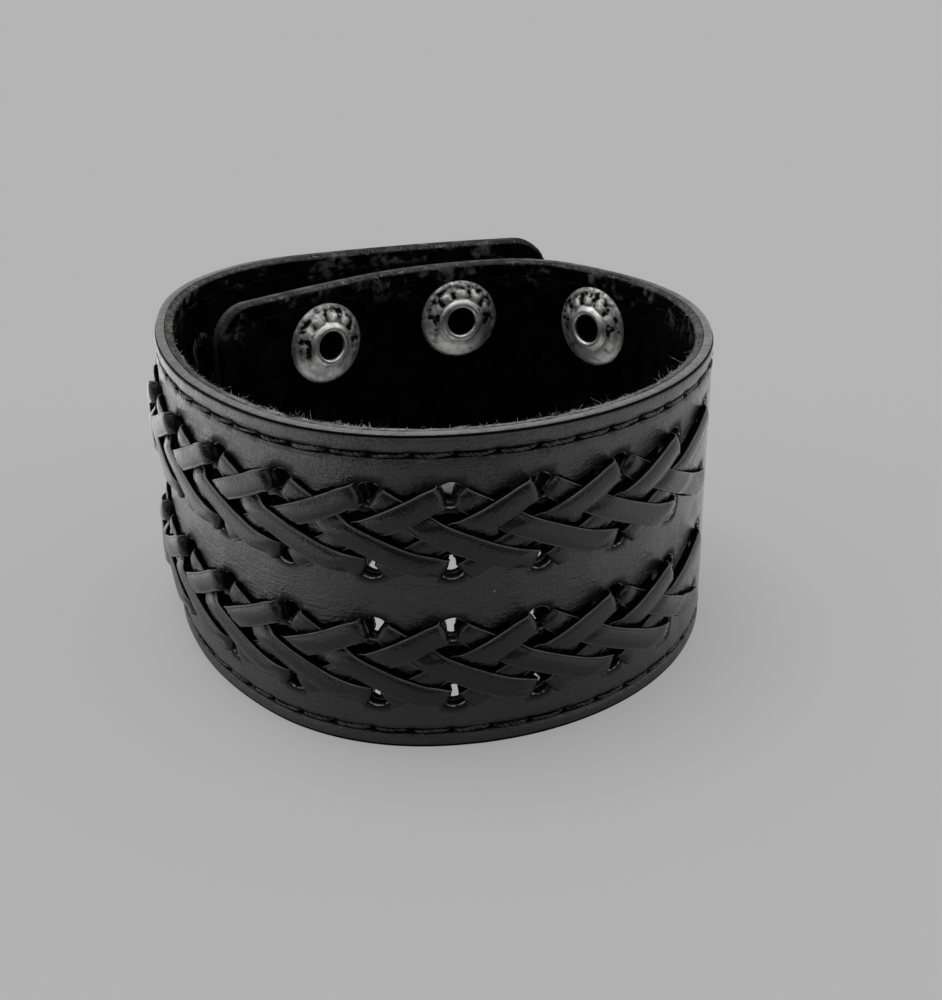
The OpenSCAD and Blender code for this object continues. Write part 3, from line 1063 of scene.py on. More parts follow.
# The rim of the smooth leather has a crease inside it, painted dark as shade, and is upright down to the
# seam.
SMOOTH_LAYER = Layer(
    "strap_smooth_leather",
    outer=1.2,
    inner=0.02,
    edge=(
        (0.5, 1.2, 0, 0), (0.36, 1.18, 0.35, 0), (0.26, 1.12, 0.9, 0), (0.17, 1.0, 1, 0),
        (0.09, 1.0, 1, 0), (0.03, 1.05, 0.8, 0), (-0.02, 1.04, 0, 0), (-0.06, 0.95, 0, 0),
        (-0.09, 0.75, 0, 0), (-0.09, 0.5, 0, 0), (-0.09, 0.25, 0, 0), (-0.09, 0.07, 0, 0),
        (-0.08, 0.02, 0, 0),
    ),
    step=0.54,
    edge_cells=11,
    wide_cells=8,
    fray=0.008,
)
# The suede's edge is pale with torn fibres and rounds off towards the inside.
SUEDE_LAYER = Layer(
    "strap_suede_backing",
    outer=-0.02,
    inner=-1.0,
    edge=(
        (-0.08, -0.02, 0, 0.7), (-0.09, -0.07, 0, 0.8), (-0.09, -0.2, 0, 0.85),
        (-0.08, -0.45, 0, 0.9), (-0.02, -0.7, 0, 1), (0.08, -0.87, 0, 1), (0.2, -0.97, 0, 0.7),
        (0.34, -1.0, 0, 0.25),
    ),
    step=0.66,
    edge_cells=8,
    wide_cells=7,
    fray=0.12,
)


@dataclass
class Punching:
    """The grid of one layer, and the block of cells that each hole takes out of it."""

    s: Array  # station of each grid point
    z: Array  # height of each grid point
    keep: Array  # which cells stay leather
    rings: Array  # grid places round each hole's block, shape (holes, places, 2)
    centre: Array  # station and height of each hole
    radius: Array  # radius of each hole
    square: Array  # half the width of each hole's block
    lace_holes: int  # how many of the holes, the first ones, are for the laces


@dataclass
class Face:
    """One face of a layer: point numbers, stations, heights and depths on its grid."""

    ids: Array
    s: Array
    z: Array
    depth: Array


@dataclass
class Strap:
    """Smooth leather and suede backing, punched, with rounded ends and burnished edges.

    A row of edge_form is the height, the place inwards from the stitches and the width of one
    bell: the groove, its shallow bed, the padded rim and the swell inside the groove. A row of
    hole_wall is the growth in radius, the place from face to face, the paleness and the painted shade.
    """

    plan: StrapPlan
    holes: HolePattern
    stitches: StitchLine
    laces: "list[Lace]"
    edge_form: tuple[tuple[float, float, float], ...] = (
        (-0.2, 0.0, 0.42), (-0.1, 0.0, 0.9), (0.06, -1.15, 0.6), (0.05, 1.1, 0.7),
    )
    needle_dips: tuple[float, float] = (0.28, 0.5)  # depth and width
    needle_shade: tuple[float, float] = (1.4, 0.44)  # strength and width of the painted shade round each needle hole
    suede_groove: tuple[float, float] = (0.2, 0.4)  # depth and width
    mouth_flare: float = 0.14  # how much wider a hole is at the outer face
    mouth_shade: float = 0.85
    back_flare: float = 0.08
    hole_reach: float = 1.95  # how far a hole draws the grid, in half blocks
    rim_rub: float = 0.12
    painted_light_heights: tuple[float, float] = (12.0, 33.0)  # heights over which the suede's flecks are painted lighter towards the top, a painted light
    front_highlight_reach: float = 30.0  # how far from the middle the top edge stays pale and rubbed, partly a painted highlight
    left_back_shade: tuple[float, float] = (70.0, 95.0)  # where the rim is painted dark towards the back, a painted shade
    right_back_shade: tuple[float, float] = (56.0, 80.0)
    hole_wall: tuple[tuple[float, float, float, float], ...] = (
        (0.04, 0.04, 0.9, 0.0), (0.0, 0.12, 0.9, 0.0), (0.0, 0.24, 0.1, 0.7), (0.0, 0.8, 0.05, 1.0),
        (0.02, 0.95, 0.05, 1.0),
    )

    def needle_dip(self, s: Array, z: Array, width: float) -> Array:
        """Bell-shaped dips round the needle holes, 1 in the middle of each.

        Args:
            s: stations.
            z: heights.
            width: width of a dip.

        Returns:
            Values from 0 to 1.
        """
        flat = np.stack([s.ravel(), z.ravel()], 1)
        near = np.full(len(flat), np.inf)
        for pins in np.array_split(self.stitches.holes(), 12):
            gap = ((flat[:, None] - pins[None]) ** 2).sum(-1).min(1)
            near = np.minimum(near, gap)
        return np.exp(-near / width**2).reshape(s.shape)

    def outer_relief(self, s: Array, z: Array) -> Array:
        """Relief of the smooth leather: groove, puckers, padded edge and slow unevenness.

        It is the sum of the bells of edge_form across the edge, minus the needle dips, plus
        ripples that fade out at the edge.

        Args:
            s: stations.
            z: heights.

        Returns:
            Offsets outwards.
        """
        inside = self.plan.inside(s, z)
        off = inside - self.stitches.inset(z)
        form = sum(height * bell(off - place, width) for height, place, width in self.edge_form)
        depth, width = self.needle_dips
        dips = depth * self.needle_dip(s, z, width)
        slow = Ripple(3, 17.0, 0.09)(s, z) + Ripple(4, 6.0, 0.02)(s, z)
        return form - dips + slow * smoothstep(inside, 0.0, 2.0)

    def inner_relief(self, s: Array, z: Array) -> Array:
        """Relief of the suede: a shallow groove and a nap that stands in uneven tufts.

        Args:
            s: stations.
            z: heights.

        Returns:
            Offsets inwards.
        """
        depth, width = self.suede_groove
        off = self.plan.inside(s, z) - self.stitches.inset(z)
        tufts = Ripple(7, 2.2, 0.05)(s, z) + Ripple(8, 11.0, 0.06)(s, z)
        return tufts - depth * bell(off, width)

    def punching(self, layer: Layer) -> Punching:
        """Lay the grid of one layer and find the block of cells that each hole takes.

        Past the braid, the rows turn smoothly from the lace holes' heights to the snaps'.

        Args:
            layer: the layer, with its cell sizes.

        Returns:
            The grid and its holes.
        """
        pattern, n = self.holes, self.holes.cells
        s_line, s_start = pattern.stations(self.plan, layer.step, layer.edge_cells)
        braid, snaps, z_start = pattern.rows(self.plan, layer.edge_cells, layer.wide_cells)
        s = np.broadcast_to(s_line[:, None], (len(s_line), len(braid)))
        z = braid + (snaps - braid) * smoothstep(s_line, *pattern.row_change)[:, None]
        count = len(pattern.columns)
        lace = [(c, row) for c in range(count) for row in range(4)]
        snap = [(count + c, row) for c in range(len(pattern.snap_columns)) for row in (0, 3)]
        start = np.array([(s_start[c], z_start[row]) for c, row in lace + snap])
        keep = np.ones((len(s_line) - 1, len(braid) - 1), bool)
        for i, j in start:
            keep[i : i + n, j : j + n] = False
        side, zero = np.arange(n), np.zeros(n, int)
        walk = np.concatenate([
            np.stack([side, zero], 1), np.stack([zero + n, side], 1),
            np.stack([n - side, zero + n], 1), np.stack([zero, n - side], 1),
        ])
        middle = tuple((start + n // 2).T)
        is_snap = np.arange(len(start)) >= len(lace)
        return Punching(
            s, z, keep, start[:, None] + walk, np.stack([s[middle], z[middle]], 1),
            np.where(is_snap, pattern.snap_radius, pattern.lace_radius),
            np.where(is_snap, pattern.snap_square, pattern.lace_square), len(lace),
        )

    def face(self, shell: Shell, layer: Layer, grid: Punching, outer: bool) -> Face:
        """One face of a layer, with round holes and its relief.

        Near a hole a point keeps its direction from the middle, and its distance is multiplied
        by a factor that goes from the one that makes the square ring a circle back to 1.

        Args:
            shell: where the points go.
            layer: the layer's sizes.
            grid: its grid and holes.
            outer: whether the face looks out of the cuff.

        Returns:
            The face.
        """
        is_leather = layer.outer > 0
        shows = outer == is_leather
        flare = self.mouth_flare if outer else self.back_flare
        s, z = self.plan.round_off(grid.s, grid.z, layer.edge[0 if outer else -1][0])
        for middle, radius, half in zip(grid.centre, grid.radius + flare, grid.square):
            x, z_off = grid.s - middle[0], grid.z - middle[1]
            ring = np.maximum(np.abs(x), np.abs(z_off))
            distance = np.maximum(np.hypot(x, z_off), TINY)
            reach = half * self.hole_reach
            ease = smoothstep(ring, half, reach)
            factor = (1 - ease) * (ring / distance) * (radius / half) + ease
            s = np.where(ring < reach, middle[0] + x * factor, s)
            z = np.where(ring < reach, middle[1] + z_off * factor, z)
        depth = np.full(s.shape, layer.outer if outer else layer.inner)
        dark, off = np.zeros(s.shape), np.full(s.shape, FAR)
        inside = self.plan.inside(s, z)
        if shows and is_leather:
            depth = depth + self.outer_relief(s, z)
            strength, width = self.needle_shade
            dark = np.clip(strength * self.needle_dip(s, z, width), 0, 1)
            i, j = np.moveaxis(grid.rings[: grid.lace_holes], -1, 0)
            dark[i, j] = self.mouth_shade
            off = np.abs(inside - self.stitches.inset(z))
            # painted shade on the strap round each lace's outline, reaching 0.2 mm past it
            for strand in self.laces:
                off = np.minimum(off, np.maximum(strand.clear_of(s, z) + 0.2, 0))
        elif shows:
            depth = depth - self.inner_relief(s, z)
        # on the suede the rim attribute is a painted light that grows towards the top edge; on the leather
        # a faint rubbed tone
        lint = self.rim_rub if is_leather else smoothstep(z, *self.painted_light_heights)
        ids = shell.add_points(
            self.plan.spot(s, depth, z), np.stack([s, z], -1),
            rim=bell(inside - 0.2, 2.6) * lint, off=off, dark=dark,
        )
        return Face(ids, s, z, depth)

    def hole_walls(self, shell: Shell, grid: Punching, top: Face, low: Face) -> None:
        """Run walls from face to face round every hole, with a pale cut lip and a bore painted dark as
        shade.

        Args:
            shell: where the points go.
            grid: the layer's grid and holes.
            top: its outer face.
            low: its inner face.
        """
        i, j = np.moveaxis(grid.rings, -1, 0)
        centre = grid.centre[:, None]
        direction = unit(np.stack([top.s[i, j], top.z[i, j]], -1) - centre)
        rough = Ripple(11, 0.9, 0.05)(*np.moveaxis(centre + direction * 1.5, -1, 0))
        thickness = low.depth[i, j] - top.depth[i, j]
        levels = [top.ids[i, j]]
        for grow, share, pale, dark in self.hole_wall:
            where = centre + direction * (grid.radius[:, None] + grow + rough * share)[..., None]
            points = self.plan.spot(where[..., 0], top.depth[i, j] + thickness * share, where[..., 1])
            levels.append(shell.add_points(points, where, cut=pale, off=FAR, dark=dark))
        levels.append(low.ids[i, j])
        shell.add_quads(closed(np.stack(levels, 1)))

    def outline_edge(self, shell: Shell, layer: Layer, top: Face, low: Face) -> None:
        """Carry the layer's edge section round the outline, a little torn, from face to face.

        The pale fibres and the rubbed colour are painted strongest on the upper edge at the front, partly a
        painted highlight, and the ends at the back are painted dark as shade.

        Args:
            shell: where the points go.
            layer: the layer's sizes.
            top: its outer face.
            low: its inner face.
        """
        i, j = self._border(*top.ids.shape).T
        s, z = top.s[i, j], top.z[i, j]
        normal = -self.plan.inward(s, z)
        base = np.stack([s, z], -1) + normal * layer.edge[0][0]
        torn = Ripple(13, 0.9, layer.fray)(s, z) + Ripple(14, 3.0, layer.fray * 0.7)(s, z)
        # painted highlight on the top edge, strongest at the front, over the real pale fibres and rubbing
        upper = np.clip(normal[:, 1], 0, 1) * (0.3 + 0.7 * bell(s, self.front_highlight_reach))
        # painted shade: the rim darkens towards the back of the cuff
        back = 0.75 * smoothstep(-s, *self.left_back_shade) + 0.5 * smoothstep(s, *self.right_back_shade)
        back = np.clip(back * (1 + Ripple(15, 2.6, 0.7)(s, z)), 0, 0.95)
        rows = [top.ids[i, j]]
        for inset, depth, dark, pale in layer.edge[1:-1]:
            where = base + normal * (torn - inset)[:, None]
            rows.append(shell.add_points(
                self.plan.spot(where[:, 0], depth, where[:, 1]), where,
                rim=(1 - 0.8 * dark) * (0.25 + 0.75 * upper), cut=pale * upper * (1 - 0.6 * back),
                off=FAR, dark=np.maximum(dark, back),
            ))
        rows.append(low.ids[i, j])
        shell.add_quads(closed(np.stack(rows)))

    def slab(self, layer: Layer, material: Material) -> Piece:
        """One layer of the strap as a closed, punched sheet.

        Args:
            layer: the layer's sizes.
            material: its finish.

        Returns:
            The piece.
        """
        shell = Shell("rim", "cut", "off", "dark")
        grid = self.punching(layer)
        top = self.face(shell, layer, grid, True)
        low = self.face(shell, layer, grid, False)
        shell.add_quads(top.ids, grid.keep)
        shell.add_quads(low.ids[::-1], grid.keep[::-1])
        self.hole_walls(shell, grid, top, low)
        self.outline_edge(shell, layer, top, low)
        return shell.build(layer.name, material)

    @staticmethod
    def _border(rows: int, columns: int) -> Array:
        """Grid places round the border of a grid, in order.

        Args:
            rows: number of grid rows.
            columns: number of grid columns.

        Returns:
            (row, column) pairs.
        """
        i, j = np.arange(rows - 1), np.arange(columns - 1)
        return np.concatenate([
            np.stack([i, 0 * i], 1), np.stack([0 * j + rows - 1, j], 1),
            np.stack([rows - 1 - i, 0 * i + columns - 1], 1), np.stack([0 * j, columns - 1 - j], 1),
        ])

    def build(self) -> None:
        """Make both layers and let them stand for their CAD nodes."""
        leather = self.slab(SMOOTH_LAYER, FinishedLeather("black_finished_leather").make())
        fasten(leather, Slot.SMOOTH, "outer_leather")
        suede = self.slab(SUEDE_LAYER, Suede("black_split_suede").make())
        fasten(suede, Slot.SUEDE, "suede_lining")


@dataclass
class EdgeStitching:
    """Lockstitch round the strap: twisted thread that dips into a needle hole at each end.

    Each face has the depth of its groove's floor, its outward sign, and the sideways lean of a
    stitch from one end to the other.
    """

    plan: StrapPlan
    line: StitchLine
    faces: tuple[tuple[float, int, float], ...] = ((0.9, 1, 0.14), (-0.7, -1, -0.14))
    thread: float = 0.44
    lobes: float = 0.16  # how far the two plies stand out, as a share of the radius
    ply_turns: float = 3.2
    arch: float = 0.1
    dive: float = 0.5
    steps: int = 22
    sides: int = 8

    def course(self, depth: float, sign: int, slant: float) -> tuple[Array, Array, Array]:
        """Grids of all stitches on one face.

        A stitch runs along the chord between two needle holes. Its height is a low arch that
        dives at both ends, its section is two lobes, r (1 + lobes cos 2(v - twist)), and each
        stitch has its own seeded lean, height and thickness.

        Args:
            depth: depth of the groove's floor.
            sign: 1 on the outside, -1 on the inside.
            slant: sideways lean from one end of a stitch to the other.

        Returns:
            Points, shape (stitches, steps, sides, 3), end points, shape (stitches, 2, 3), and the
            painted shade of each point: dark between the plies, with random dark patches.
        """
        a = self.line.holes()
        b = np.roll(a, -1, axis=0)
        rng = np.random.default_rng(5 + sign)
        own = rng.normal(size=(4, len(a), 1))
        u = np.linspace(0, 1, self.steps)[None]
        path = a[:, None] + (b - a)[:, None] * (0.03 + 0.94 * u)[..., None]
        way = unit(b - a)
        across = np.stack([-way[:, 1], way[:, 0]], 1)
        lean = (slant + 0.08 * own[0]) * (u - 0.5) + 0.05 * own[1] * np.sin(math.pi * u)
        lean = lean + 0.04 * np.sin(9 * u + 3 * own[2])
        lift = self.arch + 0.05 * own[2] - self.dive * np.abs(2 * u - 1) ** 5
        taper = (1 + 0.12 * own[3]) * (1 - 0.45 * np.abs(2 * u - 1) ** 6)
        v = np.arange(self.sides) / self.sides * 2 * math.pi
        twist = u * self.ply_turns * 2 * math.pi + own[1]
        lobe = np.cos(2 * (v - twist[..., None]))
        uneven = Ripple(9, 0.7, 0.3)(u + 3 * own[0])[..., None]
        r = self.thread / 2 * taper[..., None] * (1 + self.lobes * lobe + uneven)
        side, high = r * np.cos(v), r * np.sin(v)
        place = path[:, :, None] + across[:, None, None] * (lean[..., None] + side)[..., None]
        d = depth + sign * (lift[..., None] + high)
        points = self.plan.spot(place[..., 0], d, place[..., 1])
        ends = path[:, [0, -1]]
        tips = self.plan.spot(ends[..., 0], depth + sign * (lift[:, [0, -1]] - 0.05), ends[..., 1])
        patch = Ripple(6, 1.1, 1.2)(place[..., 0], place[..., 1])
        return points, tips, np.clip(0.8 * smoothstep(-lobe, 0.1, 1.0) + patch, 0, 1)

    def build(self) -> None:
        """Make the stitches of both faces as one piece."""
        shell = Shell("deep")
        for depth, sign, slant in self.faces:
            points, tips, deep = self.course(depth, sign, slant)
            # painted shade: the thread inside the cuff and the stitch ends are painted fully dark
            ids = shell.add_points(points, deep=deep if sign > 0 else 1.0)
            shell.add_quads(closed(ids))
            ends = shell.add_points(tips, deep=1.0)
            for k in range(len(ids)):
                shell.add_fan(ids[k, 0], ends[k, 0])
                shell.add_fan(ids[k, -1], ends[k, 1])
        piece = shell.build("edge_stitching", WaxedThread("black_waxed_thread").make())
        fasten(piece, Slot.SMOOTH)


@dataclass
class EdgeFray:
    """Torn fibres of the suede that stand along the strap's upper edge, as tapered bent hairs."""

    plan: StrapPlan
    count: int = 13000
    radius: float = 0.026
    taper: float = 0.75
    depths: tuple[float, float] = (-0.95, -0.35)  # range of the roots, across the suede's edge
    end_gap: float = 5.0  # no fibres this near the strap's ends
    stray: float = 0.012  # share of the fibres that stand out long

    def build(self) -> None:
        """Make all fibres as one piece.

        The middle of a fibre at u is root + length (u lean + u^2 curl), its radius is
        r (1 - taper u), and a point closes it. The hairs stand in tufts, thickest at the front,
        and are drawn a little thicker than real ones, so that they show.
        """
        rng = np.random.default_rng(17)
        gap = self.end_gap
        s = rng.uniform(self.plan.left_end + gap, self.plan.right_end - gap, self.count)
        tufts = 0.5 * (1 + Ripple(18, 9.0, 1.0)(s))
        tufts = tufts + 0.9 * bell(s + 13, 10.0) + 0.4 * bell(s - 18, 9.0) - 0.7 * bell(s - 3, 6.0)
        s = s[rng.uniform(size=self.count) < 0.12 + 0.88 * smoothstep(tufts, 0.3, 1.1)]
        n = len(s)
        length = rng.gamma(2.5, 0.085, n) + 0.06 + 0.7 * (rng.uniform(size=n) < self.stray)
        depth = rng.uniform(*self.depths, n)
        root = np.stack([s, depth, self.plan.height - rng.uniform(0.0, 0.1, n)], 1)
        lean = [rng.normal(0, 1.0, n), rng.normal(-0.35, 0.5, n), rng.uniform(0.05, 0.6, n)]
        lean = unit(np.stack(lean, 1))
        curl = rng.normal(0, 0.6, (n, 3)) - np.array([0, 0, 0.3])
        u = np.array([0.0, 0.35, 0.7, 1.0])[None, :, None]
        line = root[:, None] + length[:, None, None] * (u * lean[:, None] + u * u * curl[:, None])
        first = unit(np.cross(lean, [0.3, 0.9, 0.1]))
        second = np.cross(lean, first)
        v = np.arange(3) * 2 * math.pi / 3
        ring = np.cos(v)[:, None] * first[:, None] + np.sin(v)[:, None] * second[:, None]
        r = self.radius * (1 - self.taper * u[..., None])
        points = line[:, :, None] + ring[:, None] * r
        tips = line[:, -1] + lean * 0.03
        shell = Shell()
        ids = shell.add_points(self.plan.spot(*np.moveaxis(points, -1, 0)))
        shell.add_quads(closed(ids))
        ends = shell.add_points(self.plan.spot(*tips.T))
        around = np.roll(ids[:, -1], -1, axis=1)
        caps = np.stack([ids[:, -1], around, np.broadcast_to(ends[:, None], around.shape)], -1)
        shell.faces.extend(caps.reshape(-1, 3).tolist())
        shell.faces.extend(ids[:, 0, ::-1].tolist())
        fasten(shell.build("suede_edge_fray", LooseFibre("split_leather_fibre").make()), Slot.SUEDE)


# Braid


@dataclass
class Lace:
    """One flat lace, woven over two hole columns at a time and one back behind the strap.

    Its run k in front goes from column k to column k + 2. Heights are above the lower holes.
    """

    plan: StrapPlan
    columns: tuple[float, ...]
    way: Way
    z0: float
    name: str
    seed: int
    width: float = 2.62
    thick: float = 0.72
    row_h: float = 8.7
    hole_r: float = 1.42
    leather_t: float = 1.2
    lining_t: float = 1.0
    tail: float = 6.5
    air: float = 0.06  # gap between the lace and what it lies on
    sway: float = 0.06  # how far a return swings from a straight line, in row heights
    bow: float = 0.26  # how much steeper a pass starts than it ends
    step: float = 0.8  # how far a rising pass stands over the lace it covers
    low_step: float = 0.62  # the same for a falling pass
    rising_ends: tuple[float, float] = (1.25, 1.14)  # from hole middle to fold, at start and end
    falling_ends: tuple[float, float] = (0.9, 0.92)
    flat_flank: tuple[float, float] = (-74.0, -56.0)  # stations from flat to full step
    left_turn: float = -58.0  # station of the strap's sharpest turn to the left
    hole_lift: tuple[float, float] = (0.45, 0.15)  # lower and upper holes above the lace's levels
    hole_play: float = 0.08  # gap between the lace and the wall of its hole
    tail_gap: float = 0.78  # from hole middle to the tail
    start_cover: float = 0.9  # where the painted shade under a pass starts, from its first station
    end_cover: float = 2.3  # where it stops, from its last one
    spacing: float = 0.52  # length between sections on the flat
    fine: float = 0.165  # the same round the folds at the holes

    def __post_init__(self) -> None:
        """Levels of the lace's middle in front and behind, and the column that ends the braid."""
        self.low = self.leather_t + self.air + self.thick / 2
        self.back = -self.lining_t - self.air - self.thick / 2
        self.last = len(self.columns) - 1
        first = 2 * self.columns[0] - self.columns[1]
        self.spots = np.array([*self.columns, first])

    def run(self, k: Array, way: int) -> tuple[Array, Array]:
        """First and last station of run k in front; run -1 is one more column to the left."""
        start, end = self.rising_ends if way > 0 else self.falling_ends
        return self.spots[k] + start, self.spots[k + 2] - end

    def height(self, k: Array, way: int, s: Array) -> Array:
        """Height of a run's middle line above the lower holes.

        The covered part is f + bow f (1 - f), so a lace starts steeper than it ends.

        Args:
            k: run number.
            way: 1 for the rising lace, -1 for the falling one.
            s: station.

        Returns:
            Heights in millimetres.
        """
        s0, s1 = self.run(k, way)
        f = (s - s0) / (s1 - s0)
        done = f + self.bow * f * (1 - f)
        return self.row_h * (done if way > 0 else 1 - done)

    def clear_of(self, s: Array, z: Array) -> Array:
        """Distance of places on the strap from the outline of the lace's front passes.

        Args:
            s: stations.
            z: heights above the strap's lower edge.

        Returns:
            Distances in millimetres, negative under the lace.
        """
        least = np.full(np.shape(s), FAR)
        for k in range(self.last - 1):
            s0, s1 = self.run(k, self.way.value)
            middle = self.height(k, self.way.value, np.clip(s, s0, s1)) + self.z0
            slope = math.cos(math.atan(self.row_h / (s1 - s0)))
            side = np.abs(z - middle) * slope - self.width / 2
            ends = np.maximum(s0 + self.start_cover - s, s - s1 + self.end_cover)
            least = np.minimum(least, np.maximum(side, ends))
        return least

    def beyond(self, k: Array, way: int, s: Array, z: Array) -> Array:
        """Distance past the edge of run k of the other lace, on the side that this lace goes to.

        Args:
            k: run number of the other lace.
            way: 1 where this lace rises, -1 where it falls.
            s: stations.
            z: heights above the lower holes.

        Returns:
            Distances in millimetres, negative before that edge.
        """
        s0, s1 = self.run(k, -way)
        slope = np.cos(np.arctan(self.row_h / (s1 - s0)))
        return way * (z - self.height(k, -way, s)) * slope - self.width / 2

    def drape(self, k: Array, s: Array, z: Array) -> Array:
        """How far the lace stands above its low level, from where it lies over the other lace.

        It steps up along the edge that it comes out from, smoothly between two distances. The
        rising lace then swells a little, and lies nearly flat on the left flank. The falling one
        comes down past its last crossing, and stands higher where the strap turns to the left.

        Args:
            k: run number of each place.
            s: stations.
            z: heights above the lower holes.

        Returns:
            Heights in millimetres.
        """
        if self.way is Way.RISING:
            past = self.beyond(k, 1, s, z)
            up = self.step * smoothstep(past, 0.1, 1.1) + 0.16 * bell(past - 2.9, 1.7)
            up = up * (0.1 + 0.9 * smoothstep(s, *self.flat_flank))
            return np.where(k + 3 <= self.last, up, 0.3 * up)
        past = self.beyond(k - 1, -1, s, z)
        out = self.beyond(np.minimum(k + 1, self.last - 2), -1, s, z)
        sag = 0.1 * bell(past - 4.6, 2.0)
        up = self.low_step * (1 + 1.3 * bell(s - self.left_turn, 8.0))
        return up * smoothstep(past, -0.1, 1.2) * (1 - 0.8 * smoothstep(out, 0.5, 2.4)) - sag

    def front_rows(self) -> list[tuple[float, ...]]:
        """Rows of a pass in front, from the hole it comes out of to the hole it goes into.

        Returns:
            Rows of (share of the run, millimetres past it, depth, turn towards the run's slope,
            width, share of the step, extra height).
        """
        low, lin = self.low, -self.lining_t
        rising = self.way is Way.RISING
        up = 0.42 if rising else 0.5
        first, last = (0.5, -0.1) if rising else (-0.1, 0.5)
        wide0, wide1 = (0.8, 0.86) if rising else (0.68, 0.8)
        return [
            (0, 0, lin, 1.2, wide0, 0, first), (0, 0, 0.75, 1.5, wide0, 0, first),
            (0, 0.1, low - 0.24, 1.25, 0.84, 0, 0.2), (0, 0.36, low + 0.06, 1, 0.95, 0, 0.12),
            (0, 1.1, low + 0.1, 1, 1, 0.2, 0.04), (0, 2.2, low, 1, 1, 1, 0), (0.5, 0, low, 1, 1, 1, 0),
            (1, -2.6, low, 1, 1, 1, up * 0.5), (1, -1.15, low, 1, 1, 1, up),
            (1, -0.4, low - 0.04, 1, 1, 0.98, up), (1, -0.06, low - 0.26, 1.05, 1, 0.66, up * 0.9),
            (1, 0.05, 0.75, 1.25, wide1, 0, last), (1, 0, lin, 1.2, wide1, 0, last),
        ]

    def back_rows(self) -> list[tuple[float, ...]]:
        """Rows of a return: the rising lace lies on the suede and the falling one crosses over it.

        Returns:
            Rows of (share of the return, millimetres past it, depth, turn, width).
        """
        flat = self.back
        dip = 0.0 if self.way is Way.RISING else self.thick + self.air
        return [
            (0, 0, flat + 0.2, 0.5, 0.66), (0, 0.5, flat - 0.08, 0.6, 0.7),
            (0, 1.4, flat - 0.08, 0.8, 0.86), (0, 2.7, flat - dip * 0.45, 1, 1),
            (0.5, -1.9, flat - dip, 1, 1), (0.5, 1.9, flat - dip, 1, 1),
            (1, -2.7, flat - dip * 0.45, 1, 1), (1, -1.4, flat - 0.08, 0.8, 0.86),
            (1, -0.5, flat - 0.08, 0.6, 0.7), (1, 0, flat + 0.2, 0.5, 0.66),
        ]

    def front_knots(self, k: int) -> Array:
        """Knots of one pass in front, whose folds sit lower where the strap turns to the left.

        Args:
            k: run number.

        Returns:
            Rows of (station, height, depth, tilt, width, share of the step, run number, fold).
        """
        share, past, depth, turn, width, step, extra = np.array(self.front_rows(), float).T
        way = self.way.value
        s0, s1 = self.run(k, way)
        s = s0 + share * (s1 - s0) + past * math.cos(math.atan(self.row_h / (s1 - s0)))
        z = self.height(k, way, s)
        ahead = self.height(k, way, s + 0.01) - z
        tilt = np.arctan2(ahead, 0.01) * turn
        fold = (np.minimum(s - s0, s1 - s) < 1.3) * 1.0
        lower = 0.8 * bell(s - s1, 1.7) * smoothstep(-s1, 45.0, 56.0)
        lower = lower + 0.85 * bell(s - s0, 2.4) * smoothstep(-s0, 60.0, 70.0)
        depth = depth - lower * (depth > self.leather_t)
        return np.stack([s, z + extra, depth, tilt, width * self.width, step, 0 * s + k, fold], 1)

    def back_knots(self, k: int) -> Array:
        """Knots of the return from column k + 2 to column k + 1.

        Args:
            k: number of the run before it.

        Returns:
            Rows as front_knots has them.
        """
        share, past, depth, turn, width = np.array(self.back_rows(), float).T
        way = self.way.value
        s0, s1 = self.run(k, way)[1], self.run(k + 1, way)[0]
        f = share + past / math.hypot(s1 - s0, self.row_h)
        top = self.row_h if way > 0 else 0.0
        z = top - way * (f - self.sway * np.sin(2 * math.pi * f)) * self.row_h
        tilt = turn * way * math.atan(self.row_h / (s0 - s1))
        s = s0 + f * (s1 - s0)
        zero = 0 * s
        return np.stack([s, z, depth, tilt, width * self.width, zero, zero + k, zero], 1)

    def tail_knots(self, s: float, z: float, side: int) -> Array:
        """Plain tail behind the strap at one end of the lace.

        Args:
            s: station where it starts.
            z: height of its hole above the lower holes.
            side: -1 for the left end, 1 for the right one.

        Returns:
            Rows as front_knots has them.
        """
        x = self.tail * np.array([0, 0.35, 0.8, 1])
        x = self.tail - x if side < 0 else x
        level = self.back + np.where(x < 0.5, 0.15, 0)
        width = self.width * np.where(x < 1.5, 0.7, 0.95)
        zero = 0 * x
        return np.stack([s + side * x, zero + z, level, zero, width, zero, zero, zero], 1)

    def course(self) -> Array:
        """All knots of the lace from tail to tail.

        Returns:
            Rows as front_knots has them.
        """
        up = self.way is Way.RISING
        first_z, last_z = (0, self.row_h) if up else (self.row_h, 0)
        parts = [self.tail_knots(self.columns[0] + self.tail_gap, first_z, -1)]
        for k in range(self.last - 1):
            parts.append(self.front_knots(k))
            if k < self.last - 2:
                parts.append(self.back_knots(k))
        parts.append(self.tail_knots(self.columns[-1] - self.tail_gap, last_z, 1))
        return np.vstack(parts)

    def hold_in_holes(self, s: Array, z: Array, d: Array) -> tuple[Array, Array]:
        """Keep what lies inside the strap within its hole, by pulling it towards the hole's axis.

        Args:
            s: stations.
            z: heights above the lower holes.
            d: depths.

        Returns:
            Stations and heights.
        """
        columns = np.array(self.columns)
        near = columns[np.abs(s[..., None] - columns).argmin(-1)]
        low, high = self.hole_lift
        level = np.where(z > self.row_h / 2, self.row_h + high, low)
        x, y = s - near, z - level
        r = np.maximum(np.hypot(x, y), TINY)
        below_mouth = 1 - smoothstep(d, self.leather_t - 0.1, self.leather_t + 0.35)
        inside = below_mouth * smoothstep(d, -self.lining_t - 0.3, -self.lining_t)
        pull = 1 - inside * np.maximum(r - (self.hole_r - self.hole_play), 0) / r
        return near + x * pull, level + y * pull

